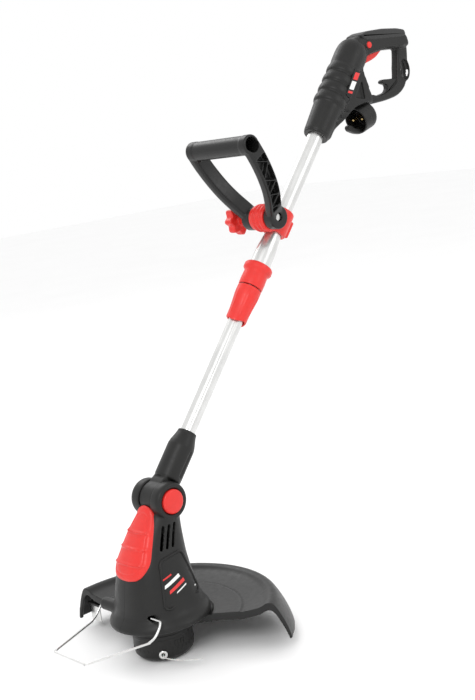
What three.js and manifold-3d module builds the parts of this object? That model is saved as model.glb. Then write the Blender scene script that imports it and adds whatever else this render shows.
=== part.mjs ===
// Corded string trimmer with a telescopic shaft, a tilting motor head and a sliding front handle.
// Millimetres, +Z up along the spool axis, +X back towards the user, +Y to the user's right.
// The origin is the middle of the flat foot under the spool.
import * as THREE from "three";
import { mergeVertices } from "three/addons/utils/BufferGeometryUtils.js";
import Module from "manifold-3d";

const wasm = await Module();
wasm.setup();

// ---- driving dimensions ----
const SHAFT_ANGLE = 48.8; // degrees between the shaft and the cutting plane
const PIVOT = new THREE.Vector3(30, 0, 218); // tilt axis of the head, along Y
const GAP = 0.3; // clearance between touching pieces
const WALL = 2.8; // moulded shells
const SPLIT = 0.2; // half the joint line between a left and a right shell

const LOWER_TUBE_R = 11;
const UPPER_TUBE_R = 12.6;
const SWAGE_R = 15.4; // widened end of the upper tube
const TUBE_WALL = 1;
const UPPER_BORE_R = UPPER_TUBE_R - TUBE_WALL;

// heights along the shaft, measured from the tilt axis
const NECK_TOP = 104;
const COLLAR_LOW = 286;
const COLLAR_SEAM = 340;
const COLLAR_TOP = 379;
const SWAGE_END = 405;
const NOSE_LOW = 615;
const TUBE_TOP = 676;
const CLAMP_MID = 457;

const HUB = { v: -28, u: 447 }; // tilt axis of the front handle
const GRIP = { v: -150.3, u: 487.4 }; // middle of the front grip
const GRIP_HALF = 61;

const CHEEK_R = 27; // round ends of the tilt joint
const CHEEK_IN = 14;
const CHEEK_OUT = 32;
const SPOOL_R = 43;
const FLANGE_R = 72;
const MOTOR_R = 27;
const GUARD_FROM = -57; // degrees round the spool axis, 0 points at the user
const GUARD_TO = 95;

// ---- materials ----
const plastic = (color, roughness = 0.55) =>
  new THREE.MeshStandardMaterial({ color, roughness, metalness: 0 });
const metal = (color, roughness = 0.35) =>
  new THREE.MeshStandardMaterial({ color, roughness, metalness: 1 });
const black = () => plastic(0x2b2b29);
const red = () => plastic(0xe8443a, 0.45);
const steel = () => metal(0x9a9a98);
const silver = () => metal(0xd9d9d6, 0.3);
const brass = () => metal(0xb8964a);
const nylon = () => plastic(0xd8d5cc, 0.5);

// ---- solids ----

// A closed geometry as a manifold solid, turned over if its faces point inwards.
function solid(geometry) {
  const bare = geometry.index ? geometry.toNonIndexed() : geometry.clone();
  bare.deleteAttribute("normal");
  bare.deleteAttribute("uv");
  const merged = mergeVertices(bare, 1e-3);
  const index = merged.index.array;
  const tris = [];
  for (let i = 0; i < index.length; i += 3) {
    const [a, b, c] = [index[i], index[i + 1], index[i + 2]];
    if (a !== b && b !== c && a !== c) tris.push(a, b, c);
  }
  const vertProperties = merged.attributes.position.array;
  const make = (list) =>
    new wasm.Manifold(
      new wasm.Mesh({ numProp: 3, vertProperties, triVerts: new Uint32Array(list) }),
    );
  const made = make(tris);
  if (made.volume() >= 0) return made;
  for (let i = 0; i < tris.length; i += 3) [tris[i], tris[i + 1]] = [tris[i + 1], tris[i]];
  return make(tris);
}

function geometryOf(shape) {
  const mesh = shape.getMesh();
  const geometry = new THREE.BufferGeometry();
  const positions = new Float32Array(mesh.vertProperties);
  geometry.setAttribute("position", new THREE.BufferAttribute(positions, 3));
  geometry.setIndex(new THREE.BufferAttribute(new Uint32Array(mesh.triVerts), 1));
  return geometry;
}

const join = (first, ...rest) => rest.reduce((sum, next) => sum.add(next), first);
const cut = (first, ...rest) => rest.reduce((left, next) => left.subtract(next), first);

function add(group, name, shape, material) {
  const mesh = new THREE.Mesh(geometryOf(shape), material);
  mesh.name = name;
  group.add(mesh);
  return mesh;
}

const moved = (geometry, x, y, z) => geometry.translate(x, y, z);

function box(x0, x1, y0, y1, z0, z1) {
  const geometry = new THREE.BoxGeometry(x1 - x0, y1 - y0, z1 - z0);
  return solid(moved(geometry, (x0 + x1) / 2, (y0 + y1) / 2, (z0 + z1) / 2));
}

// A profile of [radius, height] pairs turned about Z.
function turned(profile, segments = 20) {
  const points = profile.map(([r, z]) => new THREE.Vector2(r, z));
  return solid(new THREE.LatheGeometry(points, segments).rotateX(Math.PI / 2));
}

const tube = (inner, outer, z0, z1, segments = 20) =>
  turned(
    [
      [inner, z0],
      [outer, z0],
      [outer, z1],
      [inner, z1],
      [inner, z0],
    ],
    segments,
  );

const disc = (radius, z0, z1, segments = 20) =>
  turned(
    [
      [0, z0],
      [radius, z0],
      [radius, z1],
      [0, z1],
    ],
    segments,
  );

// A round bar between two points; bore > 0 makes it a tube.
function bar(from, to, radius, segments = 16, bore = 0) {
  const start = new THREE.Vector3(...from);
  const way = new THREE.Vector3(...to).sub(start);
  const turn = new THREE.Quaternion().setFromUnitVectors(
    new THREE.Vector3(0, 0, 1),
    way.clone().normalize(),
  );
  const made =
    bore > 0
      ? tube(bore, radius, 0, way.length(), segments)
      : disc(radius, 0, way.length(), segments);
  return solid(geometryOf(made).applyQuaternion(turn).translate(start.x, start.y, start.z));
}

// A bar along Y at (x, z).
const crossbar = (x, z, y0, y1, radius, segments = 20, bore = 0) =>
  bar([x, y0, z], [x, y1, z], radius, segments, bore);

// A side outline in X and Z, given thickness from y0 to y1 with rounded rims.
function sidePlate(outline, y0, y1, rim = 0, holes = [], steps = 2) {
  const shape = outline instanceof THREE.Shape ? outline : new THREE.Shape(outline);
  shape.holes.push(...holes);
  const geometry = new THREE.ExtrudeGeometry(shape, {
    depth: y1 - y0 - 2 * rim,
    bevelEnabled: rim > 0,
    bevelSize: rim,
    bevelThickness: rim,
    bevelOffset: -rim,
    bevelSegments: steps,
    curveSegments: 8,
  });
  return solid(geometry.rotateX(Math.PI / 2).translate(0, y1 - rim, 0));
}

// A skin through rings of equally many points, closed by a fan at each end.
function loft(rings) {
  const count = rings[0].length;
  const points = rings.flat();
  const tris = [];
  rings.slice(1).forEach((_, r) => {
    for (let i = 0; i < count; i++) {
      const [a, b] = [r * count + i, r * count + ((i + 1) % count)];
      tris.push(a, b, b + count, a, b + count, a + count);
    }
  });
  const middle = (ring) =>
    ring.reduce((sum, p) => sum.add(p), new THREE.Vector3()).divideScalar(count);
  const last = (rings.length - 1) * count;
  points.push(middle(rings[0]), middle(rings[rings.length - 1]));
  for (let i = 0; i < count; i++) {
    const next = (i + 1) % count;
    tris.push(points.length - 2, next, i, points.length - 1, last + i, last + next);
  }
  const geometry = new THREE.BufferGeometry().setFromPoints(points);
  geometry.setIndex(tris);
  return solid(geometry);
}

// One ring of a loft: an oval in X and Y with squared shoulders, at height z.
function oval(z, cx, a, w, power = 2.4, count = 28) {
  const ring = [];
  for (let i = 0; i < count; i++) {
    const t = (2 * Math.PI * i) / count;
    const [c, s] = [Math.cos(t), Math.sin(t)];
    const bend = (k) => Math.sign(k) * Math.abs(k) ** (2 / power);
    ring.push(new THREE.Vector3(cx + a * bend(c), w * bend(s), z));
  }
  return ring;
}

// A flat section carried along a plane curve; the section's first axis stands on the plane.
function swept(points, section, steps) {
  const path = new THREE.CatmullRomCurve3(points, false, "centripetal");
  return solid(
    new THREE.ExtrudeGeometry(section, {
      steps,
      extrudePath: path,
      bevelEnabled: false,
      curveSegments: 2,
    }),
  );
}

function roundRect(width, height, radius) {
  const [w, h] = [width / 2, height / 2];
  const shape = new THREE.Shape();
  shape.absarc(w - radius, h - radius, radius, 0, Math.PI / 2);
  shape.absarc(radius - w, h - radius, radius, Math.PI / 2, Math.PI);
  shape.absarc(radius - w, radius - h, radius, Math.PI, 1.5 * Math.PI);
  shape.absarc(w - radius, radius - h, radius, 1.5 * Math.PI, 2 * Math.PI);
  return shape;
}

function disk2(radius) {
  const shape = new THREE.Shape();
  shape.absarc(0, 0, radius, 0, 2 * Math.PI);
  return shape;
}

// A smooth closed curve through corner points, as a list of plane points.
function smooth(corners, divisions, tension = 0.5) {
  const path = new THREE.CatmullRomCurve3(
    corners.map(([x, z]) => new THREE.Vector3(x, z, 0)),
    true,
    "catmullrom",
    tension,
  );
  return path
    .getPoints(divisions)
    .slice(0, -1)
    .map((p) => new THREE.Vector2(p.x, p.y));
}

// Left is the user's left, on the side of -Y.
const BIG = 2000;
const leftHalf = (shape) => shape.intersect(box(-BIG, BIG, -BIG, -SPLIT, -BIG, BIG));
const rightHalf = (shape) => shape.intersect(box(-BIG, BIG, SPLIT, BIG, -BIG, BIG));

// A helical spring about Z of round wire.
function spring(radius, wire, z0, z1, turns) {
  const steps = turns * 8;
  const points = [];
  for (let i = 0; i <= steps; i++) {
    const t = (2 * Math.PI * i) / 8;
    const z = z0 + wire + ((z1 - z0 - 2 * wire) * i) / steps;
    points.push(new THREE.Vector3(radius * Math.cos(t), radius * Math.sin(t), z));
  }
  const path = new THREE.CatmullRomCurve3(points);
  return solid(
    new THREE.ExtrudeGeometry(new THREE.Shape(hexagon(wire)), {
      steps,
      extrudePath: path,
      bevelEnabled: false,
    }),
  );
}

function hexagon(radius) {
  const corner = (i) => (Math.PI * i) / 3;
  return [0, 1, 2, 3, 4, 5].map(
    (i) => new THREE.Vector2(radius * Math.cos(corner(i)), radius * Math.sin(corner(i))),
  );
}

const placed = (shape, matrix) => solid(geometryOf(shape).applyMatrix4(matrix));
const biggest = (shape) => shape.decompose().sort((a, b) => b.volume() - a.volume())[0];

// ---- frames ----
const trimmer = new THREE.Group();

// In the shaft's frame Z runs up the shaft from the tilt axis and X points down behind it.
const shaft = new THREE.Group();
shaft.position.copy(PIVOT);
shaft.rotation.y = THREE.MathUtils.degToRad(90 - SHAFT_ANGLE);
shaft.updateMatrix();
trimmer.add(shaft);

// A frame whose Z axis is the world's Y, for springs and screws that lie across.
const across = (x, y, z) =>
  new THREE.Matrix4().makeRotationX(-Math.PI / 2).setPosition(x, y, z);

// ---- motor housing ----

// Rows of the housing's outer skin: height, middle in X, half length and half width.
const HOUSING_ROWS = [
  [54, 2, 71, 71],
  [58, 2, FLANGE_R, FLANGE_R],
  [65, 3, 70, 69],
  [73, 3, 64, 62],
  [90, 1, 57, 55],
  [112, 1, 52, 50],
  [138, 3, 47, 44],
  [160, 9, 41, 38],
  [180, 16, 35, 33.5],
  [196, 23, 29, 31],
  [204, 26, 26, 30],
];

const skin = (grow) =>
  loft(
    HOUSING_ROWS.map(([z, cx, a, w]) =>
      oval(z, cx, a + grow, w + grow, z < 70 ? 2 : 2.4),
    ),
  );

function makeHousing(group) {
  const outer = join(
    skin(0),
    crossbar(PIVOT.x, PIVOT.z, -CHEEK_OUT, CHEEK_OUT, CHEEK_R, 28),
    crossbar(-44, 76, 20, 66, 9, 20),
  );
  const cavity = loft(
    HOUSING_ROWS.slice(1, -2).map(([z, cx, a, w], i) =>
      oval(i ? z : z + WALL, cx, a - WALL, w - WALL, i < 2 ? 2 : 2.4),
    ),
  );
  const knuckleSlot = join(
    crossbar(PIVOT.x, PIVOT.z, -CHEEK_IN, CHEEK_IN, 25.5, 28),
    box(-20, 80, -CHEEK_IN, CHEEK_IN, PIVOT.z, 260),
    box(PIVOT.x, 80, -CHEEK_IN, CHEEK_IN, 197, 260),
  );
  const bores = join(
    crossbar(PIVOT.x, PIVOT.z, -CHEEK_OUT - 5, 26, 6.3),
    crossbar(PIVOT.x, PIVOT.z, -CHEEK_OUT - 5, -CHEEK_IN - 5, 18.3, 24),
    crossbar(-44, 76, -80, 80, 2.4, 12),
    disc(12.4, 40, 66),
    disc(6, 190, 230, 16),
  );
  const vents = [];
  for (const side of [-1, 1]) {
    for (let i = 0; i < 3; i++) {
      const x = 12 + 11 * i;
      const [near, far] = side > 0 ? [20, 60] : [-60, -20];
      vents.push(box(x - 2, x + 2, near, far, 146 + 4 * i, 184));
    }
  }
  const back = [0, 1, 2, 3].map((i) => box(40, 90, -10, 10, 150 + 9 * i, 154 + 9 * i));
  const shell = cut(outer, cavity, knuckleSlot, bores, ...vents, ...back);
  const seatWall = tube(MOTOR_R + 0.6, MOTOR_R + 3, 60, 108);
  const pillars = [
    [-30, 34],
    [38, 36],
  ].flatMap(([x, y]) => [-y, y].map((across) => disc(4, 60, 70, 12).translate([x, across, 0])));
  const whole = join(shell, seatWall.intersect(skin(-1)), ...pillars);
  add(group, "motor_housing_left", leftHalf(whole), black());
  add(group, "motor_housing_right", rightHalf(whole), black());
}

// The red cover lies on the front of the housing, proud of it, with three cross ribs.
function makeFrontCover(group) {
  const outline = smooth(
    [
      [-17, 208],
      [0, 216],
      [17, 208],
      [25, 188],
      [31, 162],
      [34, 142],
      [26, 129],
      [0, 124],
      [-26, 129],
      [-34, 142],
      [-31, 162],
      [-25, 188],
    ],
    40,
  );
  const window = solid(
    new THREE.ExtrudeGeometry(new THREE.Shape(outline), { depth: 90, bevelEnabled: false })
      .rotateX(Math.PI / 2)
      .rotateZ(Math.PI / 2)
      .translate(-80, 0, 0),
  );
  const ribs = [148, 167, 185].map((z) => {
    const [, cx, a, w] = HOUSING_ROWS.findLast((row) => row[0] <= z);
    return loft([
      oval(z - 2.4, cx, a + 2, w + 2),
      oval(z - 1, cx, a + 4.4, w + 4.4),
      oval(z + 1, cx, a + 4.4, w + 4.4),
      oval(z + 2.4, cx, a + 2, w + 2),
    ]);
  });
  const keepClear = crossbar(PIVOT.x, PIVOT.z, -50, 50, CHEEK_R + GAP, 28);
  const rise = (grow) =>
    loft(
      [...HOUSING_ROWS.slice(3), [214, 29, 25, 29]].map(([z, cx, a, w]) =>
        oval(z, cx, a + grow, w + grow),
      ),
    );
  const seat = join(rise(GAP), skin(GAP), crossbar(-44, 76, 18, 68, 9 + GAP, 20));
  const part = cut(join(rise(2.6), ...ribs), seat, keepClear).intersect(window);
  const front = part.intersect(box(-120, 24, -60, 60, 80, 230));
  add(group, "front_cover", biggest(front), red());
}

// ---- spool ----
const LINE_HEIGHT = 14; // the cutting lines leave the spool here
const EYELET_ANGLE = 230; // degrees round the spool axis to the first eyelet
const LINE_R = 0.8;

const turnedBy = (shape, degrees) =>
  placed(shape, new THREE.Matrix4().makeRotationZ(THREE.MathUtils.degToRad(degrees)));

function makeSpool(group) {
  const crossHole = bar([-60, 0, LINE_HEIGHT], [60, 0, LINE_HEIGHT], 4.6, 12);
  const cap = cut(
    turned([
      [0, 2.4],
      [17, 2.4],
      [30, 0.8],
      [37, 3],
      [41.5, 8],
      [SPOOL_R, 15],
      [SPOOL_R, 40],
      [SPOOL_R - 2.2, 40],
      [SPOOL_R - 2.2, 12],
      [36, 5.6],
      [13.4, 5.6],
      [13.4, 5],
      [0, 5],
    ]),
    disc(12.4, -5, 12),
    turnedBy(crossHole, EYELET_ANGLE),
  );
  add(group, "spool_cap", cap, black());
  const reel = turned([
    [6.5, 9],
    [33, 9],
    [33, 11],
    [15, 11],
    [15, 27],
    [33, 27],
    [33, 29],
    [10, 29],
    [10, 12.5],
    [6.5, 12.5],
    [6.5, 9],
  ]);
  add(group, "line_reel", reel, red());
  add(group, "wound_line", tube(15.3, 29, 11.3, 26.7), nylon());
  const knob = turned([
    [0, 0],
    [9, 0],
    [12, 2],
    [12, 6],
    [5.8, 6.4],
    [5.8, 13],
    [0, 13],
  ]);
  add(group, "bump_knob", knob, black());
  add(group, "reel_spring", spring(8, 0.8, 14, 28, 3), steel());
  const hub = turned([
    [4.3, 30],
    [34, 30],
    [34, 33],
    [11.5, 33],
    [11.5, 47],
    [4.3, 47],
    [4.3, 30],
  ]);
  add(group, "drive_hub", hub, black());
  makeLines(group);
}

// Two brass-like eyelets opposite each other, with a short tail of line through each.
function makeLines(group) {
  const eyelet = join(
    bar([SPOOL_R - 5, 0, LINE_HEIGHT], [SPOOL_R + 1.2, 0, LINE_HEIGHT], 4.2, 10, 2),
    bar([SPOOL_R + 0.4, 0, LINE_HEIGHT], [SPOOL_R + 1.8, 0, LINE_HEIGHT], 6, 10, 2),
  );
  // The tail leaves straight out of its eyelet and trails round behind the turning spool.
  const tail = [
    [SPOOL_R - 3, 0],
    [SPOOL_R + 7, -1],
    [SPOOL_R + 16, -8],
    [SPOOL_R + 23, -22],
    [SPOOL_R + 27, -38],
    [SPOOL_R + 29, -54],
  ].map(([out, back]) => new THREE.Vector3(out, -back, LINE_HEIGHT + 0.03 * back));
  const line = swept(tail, disk2(LINE_R), 16);
  for (const [side, degrees] of [
    ["left", EYELET_ANGLE],
    ["right", EYELET_ANGLE + 180],
  ]) {
    add(group, `line_eyelet_${side}`, turnedBy(eyelet, degrees), steel());
    add(group, `cutting_line_${side}`, turnedBy(line, degrees), nylon());
  }
}

// The shaft and the fan turn with the spool.
function makeDriveShaft(group) {
  const rod = turned([
    [0, 16],
    [4, 16],
    [4, 122],
    [0, 122],
  ]);
  add(group, "motor_shaft", rod, steel());
  const bladeCount = 7;
  const blades = Array.from({ length: bladeCount }, (_, i) =>
    turnedBy(box(11, 40, -0.9, 0.9, 118, 128), (360 * i) / bladeCount),
  );
  const fan = cut(
    join(tube(5, 12, 116, 129), tube(11, 38, 116, 118), ...blades),
    disc(4.3, 100, 150),
  );
  add(group, "cooling_fan", fan, nylon());
}

// ---- motor ----
function makeMotor(group) {
  const can = cut(
    turned(
      [
        [0, 64],
        [MOTOR_R, 64],
        [MOTOR_R, 108],
        [14, 108],
        [14, 112],
        [0, 112],
      ],
      24,
    ),
    disc(5, 50, 130),
    disc(22, 68, 104),
    disc(9.2, 60, 66.5),
    disc(9.2, 106, 113),
  );
  add(group, "motor_can", can, silver());
  const rotor = turned(
    [
      [4.3, 71],
      [19, 71],
      [19, 96],
      [10, 96],
      [10, 102],
      [4.3, 102],
      [4.3, 71],
    ],
    24,
  );
  add(group, "rotor", rotor, brass());
  add(group, "lower_bearing", tube(4.3, 8.9, 60.5, 66.2), steel());
  add(group, "upper_bearing", tube(4.3, 8.9, 106.6, 111.6), steel());
}

// ---- guard and what it carries ----
function arcPoint(radius, degrees, z) {
  const a = THREE.MathUtils.degToRad(degrees);
  return new THREE.Vector3(radius * Math.cos(a), radius * Math.sin(a), z);
}

// The guard's section as [radius, height], outside first and back along the inside.
const GUARD_TOP = [
  [46, 52],
  [76, 53.5],
  [118, 55],
  [146, 61],
  [158, 67],
  [164, 67],
  [170, 62],
  [178, 47],
  [184, 32],
  [188, 17],
];
const GUARD_SECTION = [
  ...GUARD_TOP,
  [185.4, 17],
  [181, 31.5],
  [175, 46],
  [168, 59.5],
  [163, 63.8],
  [158.6, 63.8],
  [147, 58],
  [118, 52],
  [76, 50.5],
  [46, 49],
];

function makeGuard(group) {
  const steps = 15;
  const rings = [];
  for (let i = 0; i <= steps; i++) {
    const angle = GUARD_FROM + ((GUARD_TO - GUARD_FROM) * i) / steps;
    rings.push(GUARD_SECTION.map(([r, z]) => arcPoint(r, angle, z)));
  }
  const sheet = guardSkin(rings);
  const lip = (angle, drop) => {
    const wall = (r, z) => arcPoint(r, angle, z);
    const inner = GUARD_TOP.slice(1).map(([r, z]) => wall(r, z - 0.5));
    const outer = GUARD_TOP.slice(1)
      .map(([r, z], i) => wall(r - Math.min(i, 4) * 0.6, Math.max(z - drop, 15)))
      .reverse();
    return [...inner, ...outer];
  };
  const nearWall = guardSkin([lip(GUARD_FROM, 11), lip(GUARD_FROM + 1.4, 11)]);
  const farWall = guardSkin([lip(GUARD_TO - 1.4, 11), lip(GUARD_TO, 11)]);
  const screws = GUARD_SCREWS.map(([x, y]) => disc(2.3, 40, 60, 12).translate([x, y, 0]));
  const open = cut(join(sheet, nearWall, farWall), disc(SPOOL_R + 4, 30, 80, 36), ...screws);
  add(group, "guard", open, black());
}

// A skin through flat polygons that need not be convex.
function guardSkin(rings) {
  const count = rings[0].length;
  const flat = rings[0].map((p) => new THREE.Vector2(Math.hypot(p.x, p.y), p.z));
  const caps = THREE.ShapeUtils.triangulateShape(flat, []);
  const tris = [];
  rings.slice(1).forEach((_, r) => {
    for (let i = 0; i < count; i++) {
      const [a, b] = [r * count + i, r * count + ((i + 1) % count)];
      tris.push(a, b, b + count, a, b + count, a + count);
    }
  });
  const last = (rings.length - 1) * count;
  const clockwise = THREE.ShapeUtils.area(flat) < 0;
  for (const [a, b, c] of caps) {
    if (clockwise) tris.push(a, b, c, last + a, last + c, last + b);
    else tris.push(a, c, b, last + a, last + b, last + c);
  }
  const geometry = new THREE.BufferGeometry().setFromPoints(rings.flat());
  geometry.setIndex(tris);
  return solid(geometry);
}

const GUARD_SCREWS = [
  [60, -12],
  [60, 12],
  [52, 34],
];

// ---- wire guard ----
const WIRE_R = 1.7;
const WIRE_AXIS = { x: -44, z: 76 };

function makeWireGuard(group) {
  const run = [
    [WIRE_AXIS.x, -40, WIRE_AXIS.z],
    [WIRE_AXIS.x, -60, WIRE_AXIS.z],
    [WIRE_AXIS.x - 3, -64, WIRE_AXIS.z - 4],
    [WIRE_AXIS.x - 14, -65, 60],
    [WIRE_AXIS.x - 22, -64, 55],
    [-150, -39, 54],
    [-155, -35, 54],
    [-155, 35, 54],
    [-150, 39, 54],
    [WIRE_AXIS.x - 22, 72, 55],
    [WIRE_AXIS.x - 14, 73, 60],
    [WIRE_AXIS.x - 3, 73, WIRE_AXIS.z - 4],
    [WIRE_AXIS.x, 70, WIRE_AXIS.z],
    [WIRE_AXIS.x, 40, WIRE_AXIS.z],
  ];
  const points = run.map((p) => new THREE.Vector3(...p));
  const rings = points.map((p, k) => {
    const before = points[Math.max(k - 1, 0)];
    const after = points[Math.min(k + 1, points.length - 1)];
    const along = after.clone().sub(before).normalize();
    const side = new THREE.Vector3(0, 0, 1).cross(along).normalize();
    const up = along.clone().cross(side);
    return hexagon(WIRE_R).map((q) =>
      p.clone().addScaledVector(side, q.x).addScaledVector(up, q.y),
    );
  });
  add(group, "wire_guard", loft(rings), steel());
}

// ---- line cutter at the far end of the guard ----
const KNIFE_ANGLE = 88;

function makeLineCutter(group) {
  const turn = new THREE.Matrix4().makeRotationZ(THREE.MathUtils.degToRad(KNIFE_ANGLE));
  const holder = cut(
    join(
      box(143, 174, -15, 12, 37, 41),
      box(145, 172, -15, -11, 30, 41),
      box(159, 162.6, -10, 8, 41, 63.3),
    ),
    disc(2.2, 30, 60, 12).translate([152, 3, 0]),
  );
  const blade = cut(
    join(box(146, 171, -10, 9, 35.2, 36.6), box(146, 171, 8, 9.5, 12, 36.6)),
    disc(2.2, 30, 60, 12).translate([152, 3, 0]),
  );
  const screw = join(disc(3.6, 32.4, 34.9, 12), disc(1.9, 34, 40.5, 12));
  const holderSolid = cut(holder, box(145, 173, -10.5, 12, 30, 36.9));
  add(group, "blade_cover", placed(holderSolid, turn), black());
  add(group, "line_cutter_blade", placed(blade, turn), steel());
  add(group, "blade_screw", placed(screw.translate([152, 3, 0]), turn), steel());
}

// ---- screws ----
// A pan-head screw along Y whose head rests on y, driven in from the user's right.
const screwAlongY = (x, z, y, length) =>
  join(crossbar(x, z, y, y + 2.2, 3.4, 12), crossbar(x, z, y - length, y + 0.1, 1.6, 8));

// ---- tilt joint ----
function makeTiltJoint(head) {
  const button = join(
    crossbar(PIVOT.x, PIVOT.z, -CHEEK_OUT - 3, -CHEEK_OUT + 6, 17.4, 24),
    crossbar(PIVOT.x, PIVOT.z, -CHEEK_OUT + 5.9, -CHEEK_OUT + 8, 8, 16),
  );
  add(head, "tilt_button", button, red());
  add(head, "tilt_pin", crossbar(PIVOT.x, PIVOT.z, -18.6, 25.6, 6), steel());
  const coil = spring(12, 0.7, 0, 3.6, 1);
  add(head, "tilt_spring", placed(coil, across(PIVOT.x, -22.8, PIVOT.z)), steel());
}

// ---- shaft pieces, in the shaft's frame ----
function makeNeck(group) {
  const knuckle = crossbar(0, 0, -CHEEK_IN + GAP, CHEEK_IN - GAP, 24.5, 24);
  const barrel = turned([
    [0, 16],
    [12.4, 16],
    [12.4, 28.4],
    [18.4, 28.6],
    [19.8, 32],
    [19.8, 82],
    [13.6, NECK_TOP - 2],
    [12.6, NECK_TOP],
    [0, NECK_TOP],
  ]);
  const neck = cut(
    join(knuckle, barrel),
    disc(LOWER_TUBE_R + GAP, 40, 120),
    disc(6, 0, 60, 12),
    crossbar(0, 0, -20, 20, 6.3),
    crossbar(9, 70, -30, 30, 1.9, 10),
  );
  add(group, "neck", neck, black());
}

function makeTubes(group) {
  add(group, "lower_tube", tube(LOWER_TUBE_R - TUBE_WALL, LOWER_TUBE_R, 41, 450), silver());
}

function makeUpperTube(group) {
  const upper = turned([
    [SWAGE_R - TUBE_WALL, COLLAR_SEAM + 3],
    [SWAGE_R, COLLAR_SEAM + 3],
    [SWAGE_R, SWAGE_END],
    [UPPER_TUBE_R, 430],
    [UPPER_TUBE_R, TUBE_TOP],
    [UPPER_BORE_R, TUBE_TOP],
    [UPPER_BORE_R, 430],
    [SWAGE_R - TUBE_WALL, SWAGE_END],
    [SWAGE_R - TUBE_WALL, COLLAR_SEAM + 3],
  ]);
  add(group, "upper_tube", upper, silver());
  const bushOuter = SWAGE_R - TUBE_WALL - GAP;
  const bush = tube(LOWER_TUBE_R + GAP, bushOuter, COLLAR_SEAM + 6, SWAGE_END - 4);
  add(group, "guide_bush", bush, nylon());
  add(group, "inner_lead", tube(2, 7, 300, 650, 12), black());
}

function makeCollars(group) {
  const sleeve = turned([
    [SWAGE_R + GAP, COLLAR_SEAM + 2],
    [18, COLLAR_SEAM + 2],
    [19, COLLAR_SEAM + 8],
    [18.4, 366],
    [22, 370],
    [22, COLLAR_TOP - 2],
    [20, COLLAR_TOP],
    [SWAGE_R + GAP, COLLAR_TOP],
    [SWAGE_R + GAP, COLLAR_SEAM + 2],
  ]);
  add(group, "collar_sleeve", sleeve, red());
  const jaw = cut(
    turned([
      [LOWER_TUBE_R + GAP, 300],
      [13.4, 300],
      [14.2, 322],
      [14.2, 338],
      [LOWER_TUBE_R + GAP, 338],
      [LOWER_TUBE_R + GAP, 300],
    ]),
    box(0, 30, -1, 1, 296, 330),
  );
  add(group, "clamping_jaw", jaw, nylon());
}

function makeTwistCollar(group) {
  const grips = [];
  for (let i = 0; i < 6; i++) {
    const rib = box(15, 19.2, -1.2, 1.2, 296, 330);
    grips.push(placed(rib, new THREE.Matrix4().makeRotationZ((Math.PI * i) / 3)));
  }
  const outside = turned([
    [0, COLLAR_LOW],
    [14.6, COLLAR_LOW],
    [15.6, COLLAR_LOW + 2],
    [16.4, 306],
    [18.4, 322],
    [18.4, COLLAR_SEAM],
    [0, COLLAR_SEAM],
  ]);
  const inside = turned([
    [0, 298],
    [13.8, 298],
    [14.6, 322],
    [14.6, 350],
    [0, 350],
  ]);
  const collar = cut(join(outside, ...grips), inside, disc(LOWER_TUBE_R + GAP, 270, 350));
  add(group, "twist_collar", collar, red());
}

// ---- front handle ----
function makeClamp(group) {
  const low = CLAMP_MID - 21;
  const high = CLAMP_MID + 19;
  const saddle = join(
    disc(18.5, low, high, 24),
    crossbar(HUB.v, HUB.u, -15, 15, 19, 20),
    box(HUB.v, 0, -13, 13, 434, HUB.u + 16),
  );
  const rings = [-12, -4, 4].map((y) => crossbar(HUB.v, HUB.u, y, y + 3.6, 21, 20));
  const body = cut(
    join(saddle, ...rings),
    disc(UPPER_TUBE_R + GAP, low - 20, high + 10, 20),
    crossbar(HUB.v, HUB.u, -40, 40, 3.4, 12),
    box(0, 40, -1.2, 1.2, low - 10, high + 10),
  );
  add(group, "clamp_body", body, red());
}

function makeClampBolt(group) {
  const bolt = join(
    crossbar(HUB.v, HUB.u, -27, 60, 3, 12),
    crossbar(HUB.v, HUB.u, -29.8, -26, 6, 6),
  );
  add(group, "clamp_bolt", bolt, steel());
}

function makeFrontHandle(group) {
  const way = new THREE.Vector3(GRIP.v - HUB.v, 0, GRIP.u - HUB.u);
  const reach = way.length();
  const up = way.clone().normalize();
  // Plane frame: X along the hub, Y from the hub to the grip, Z along the shaft's side of the plane.
  const frame = new THREE.Matrix4().makeBasis(
    new THREE.Vector3(0, 1, 0),
    up,
    new THREE.Vector3(0, 1, 0).cross(up),
  );
  frame.setPosition(HUB.v, 0, HUB.u);
  const section = roundRect(27, 15, 5);
  const arm = (side) =>
    swept(
      [
        [24.5, 0],
        [27.5, 9],
        [34, 21],
        [43, 37],
        [51, 56],
        [57, 79],
        [60.5, 104],
        [GRIP_HALF, reach - 1],
      ].map(([a, t]) => new THREE.Vector3(side * a, t, 0)),
      section,
      10,
    );
  const roll = (radius, from, to, along, segments = 20) =>
    bar([from, along, 0], [to, along, 0], radius, segments);
  const parts = [-1, 1].flatMap((side) => [
    arm(side),
    roll(17.8, side * 15.7, side * 32.7, 0),
    roll(14.6, side * (GRIP_HALF - 8), side * (GRIP_HALF + 4), reach),
  ]);
  const handle = cut(
    join(roll(14.2, -GRIP_HALF, GRIP_HALF, reach), roll(9, 30, 35.7, 0, 16), ...parts),
    roll(3.4, -45, 45, 0, 12),
    roll(6.4, -36, -25.9, 0, 12),
    roll(11, -80, 80, reach, 16),
  );
  add(group, "front_handle", placed(handle, frame), black());
}

function makeClampKnob(group) {
  const lobes = 8;
  const outline = [];
  for (let i = 0; i < lobes * 4; i++) {
    const t = (2 * Math.PI * i) / (lobes * 4);
    const r = 21.4 + 2.4 * Math.cos(lobes * t);
    outline.push(new THREE.Vector2(HUB.v + r * Math.cos(t), HUB.u + r * Math.sin(t)));
  }
  const star = sidePlate(outline, 50, 66, 2, [], 1);
  const stem = crossbar(HUB.v, HUB.u, 36, 51, 8, 16);
  const knob = cut(join(star, stem), crossbar(HUB.v, HUB.u, 20, 61, 3.3, 12));
  add(group, "clamp_knob", knob, red());
}

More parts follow.
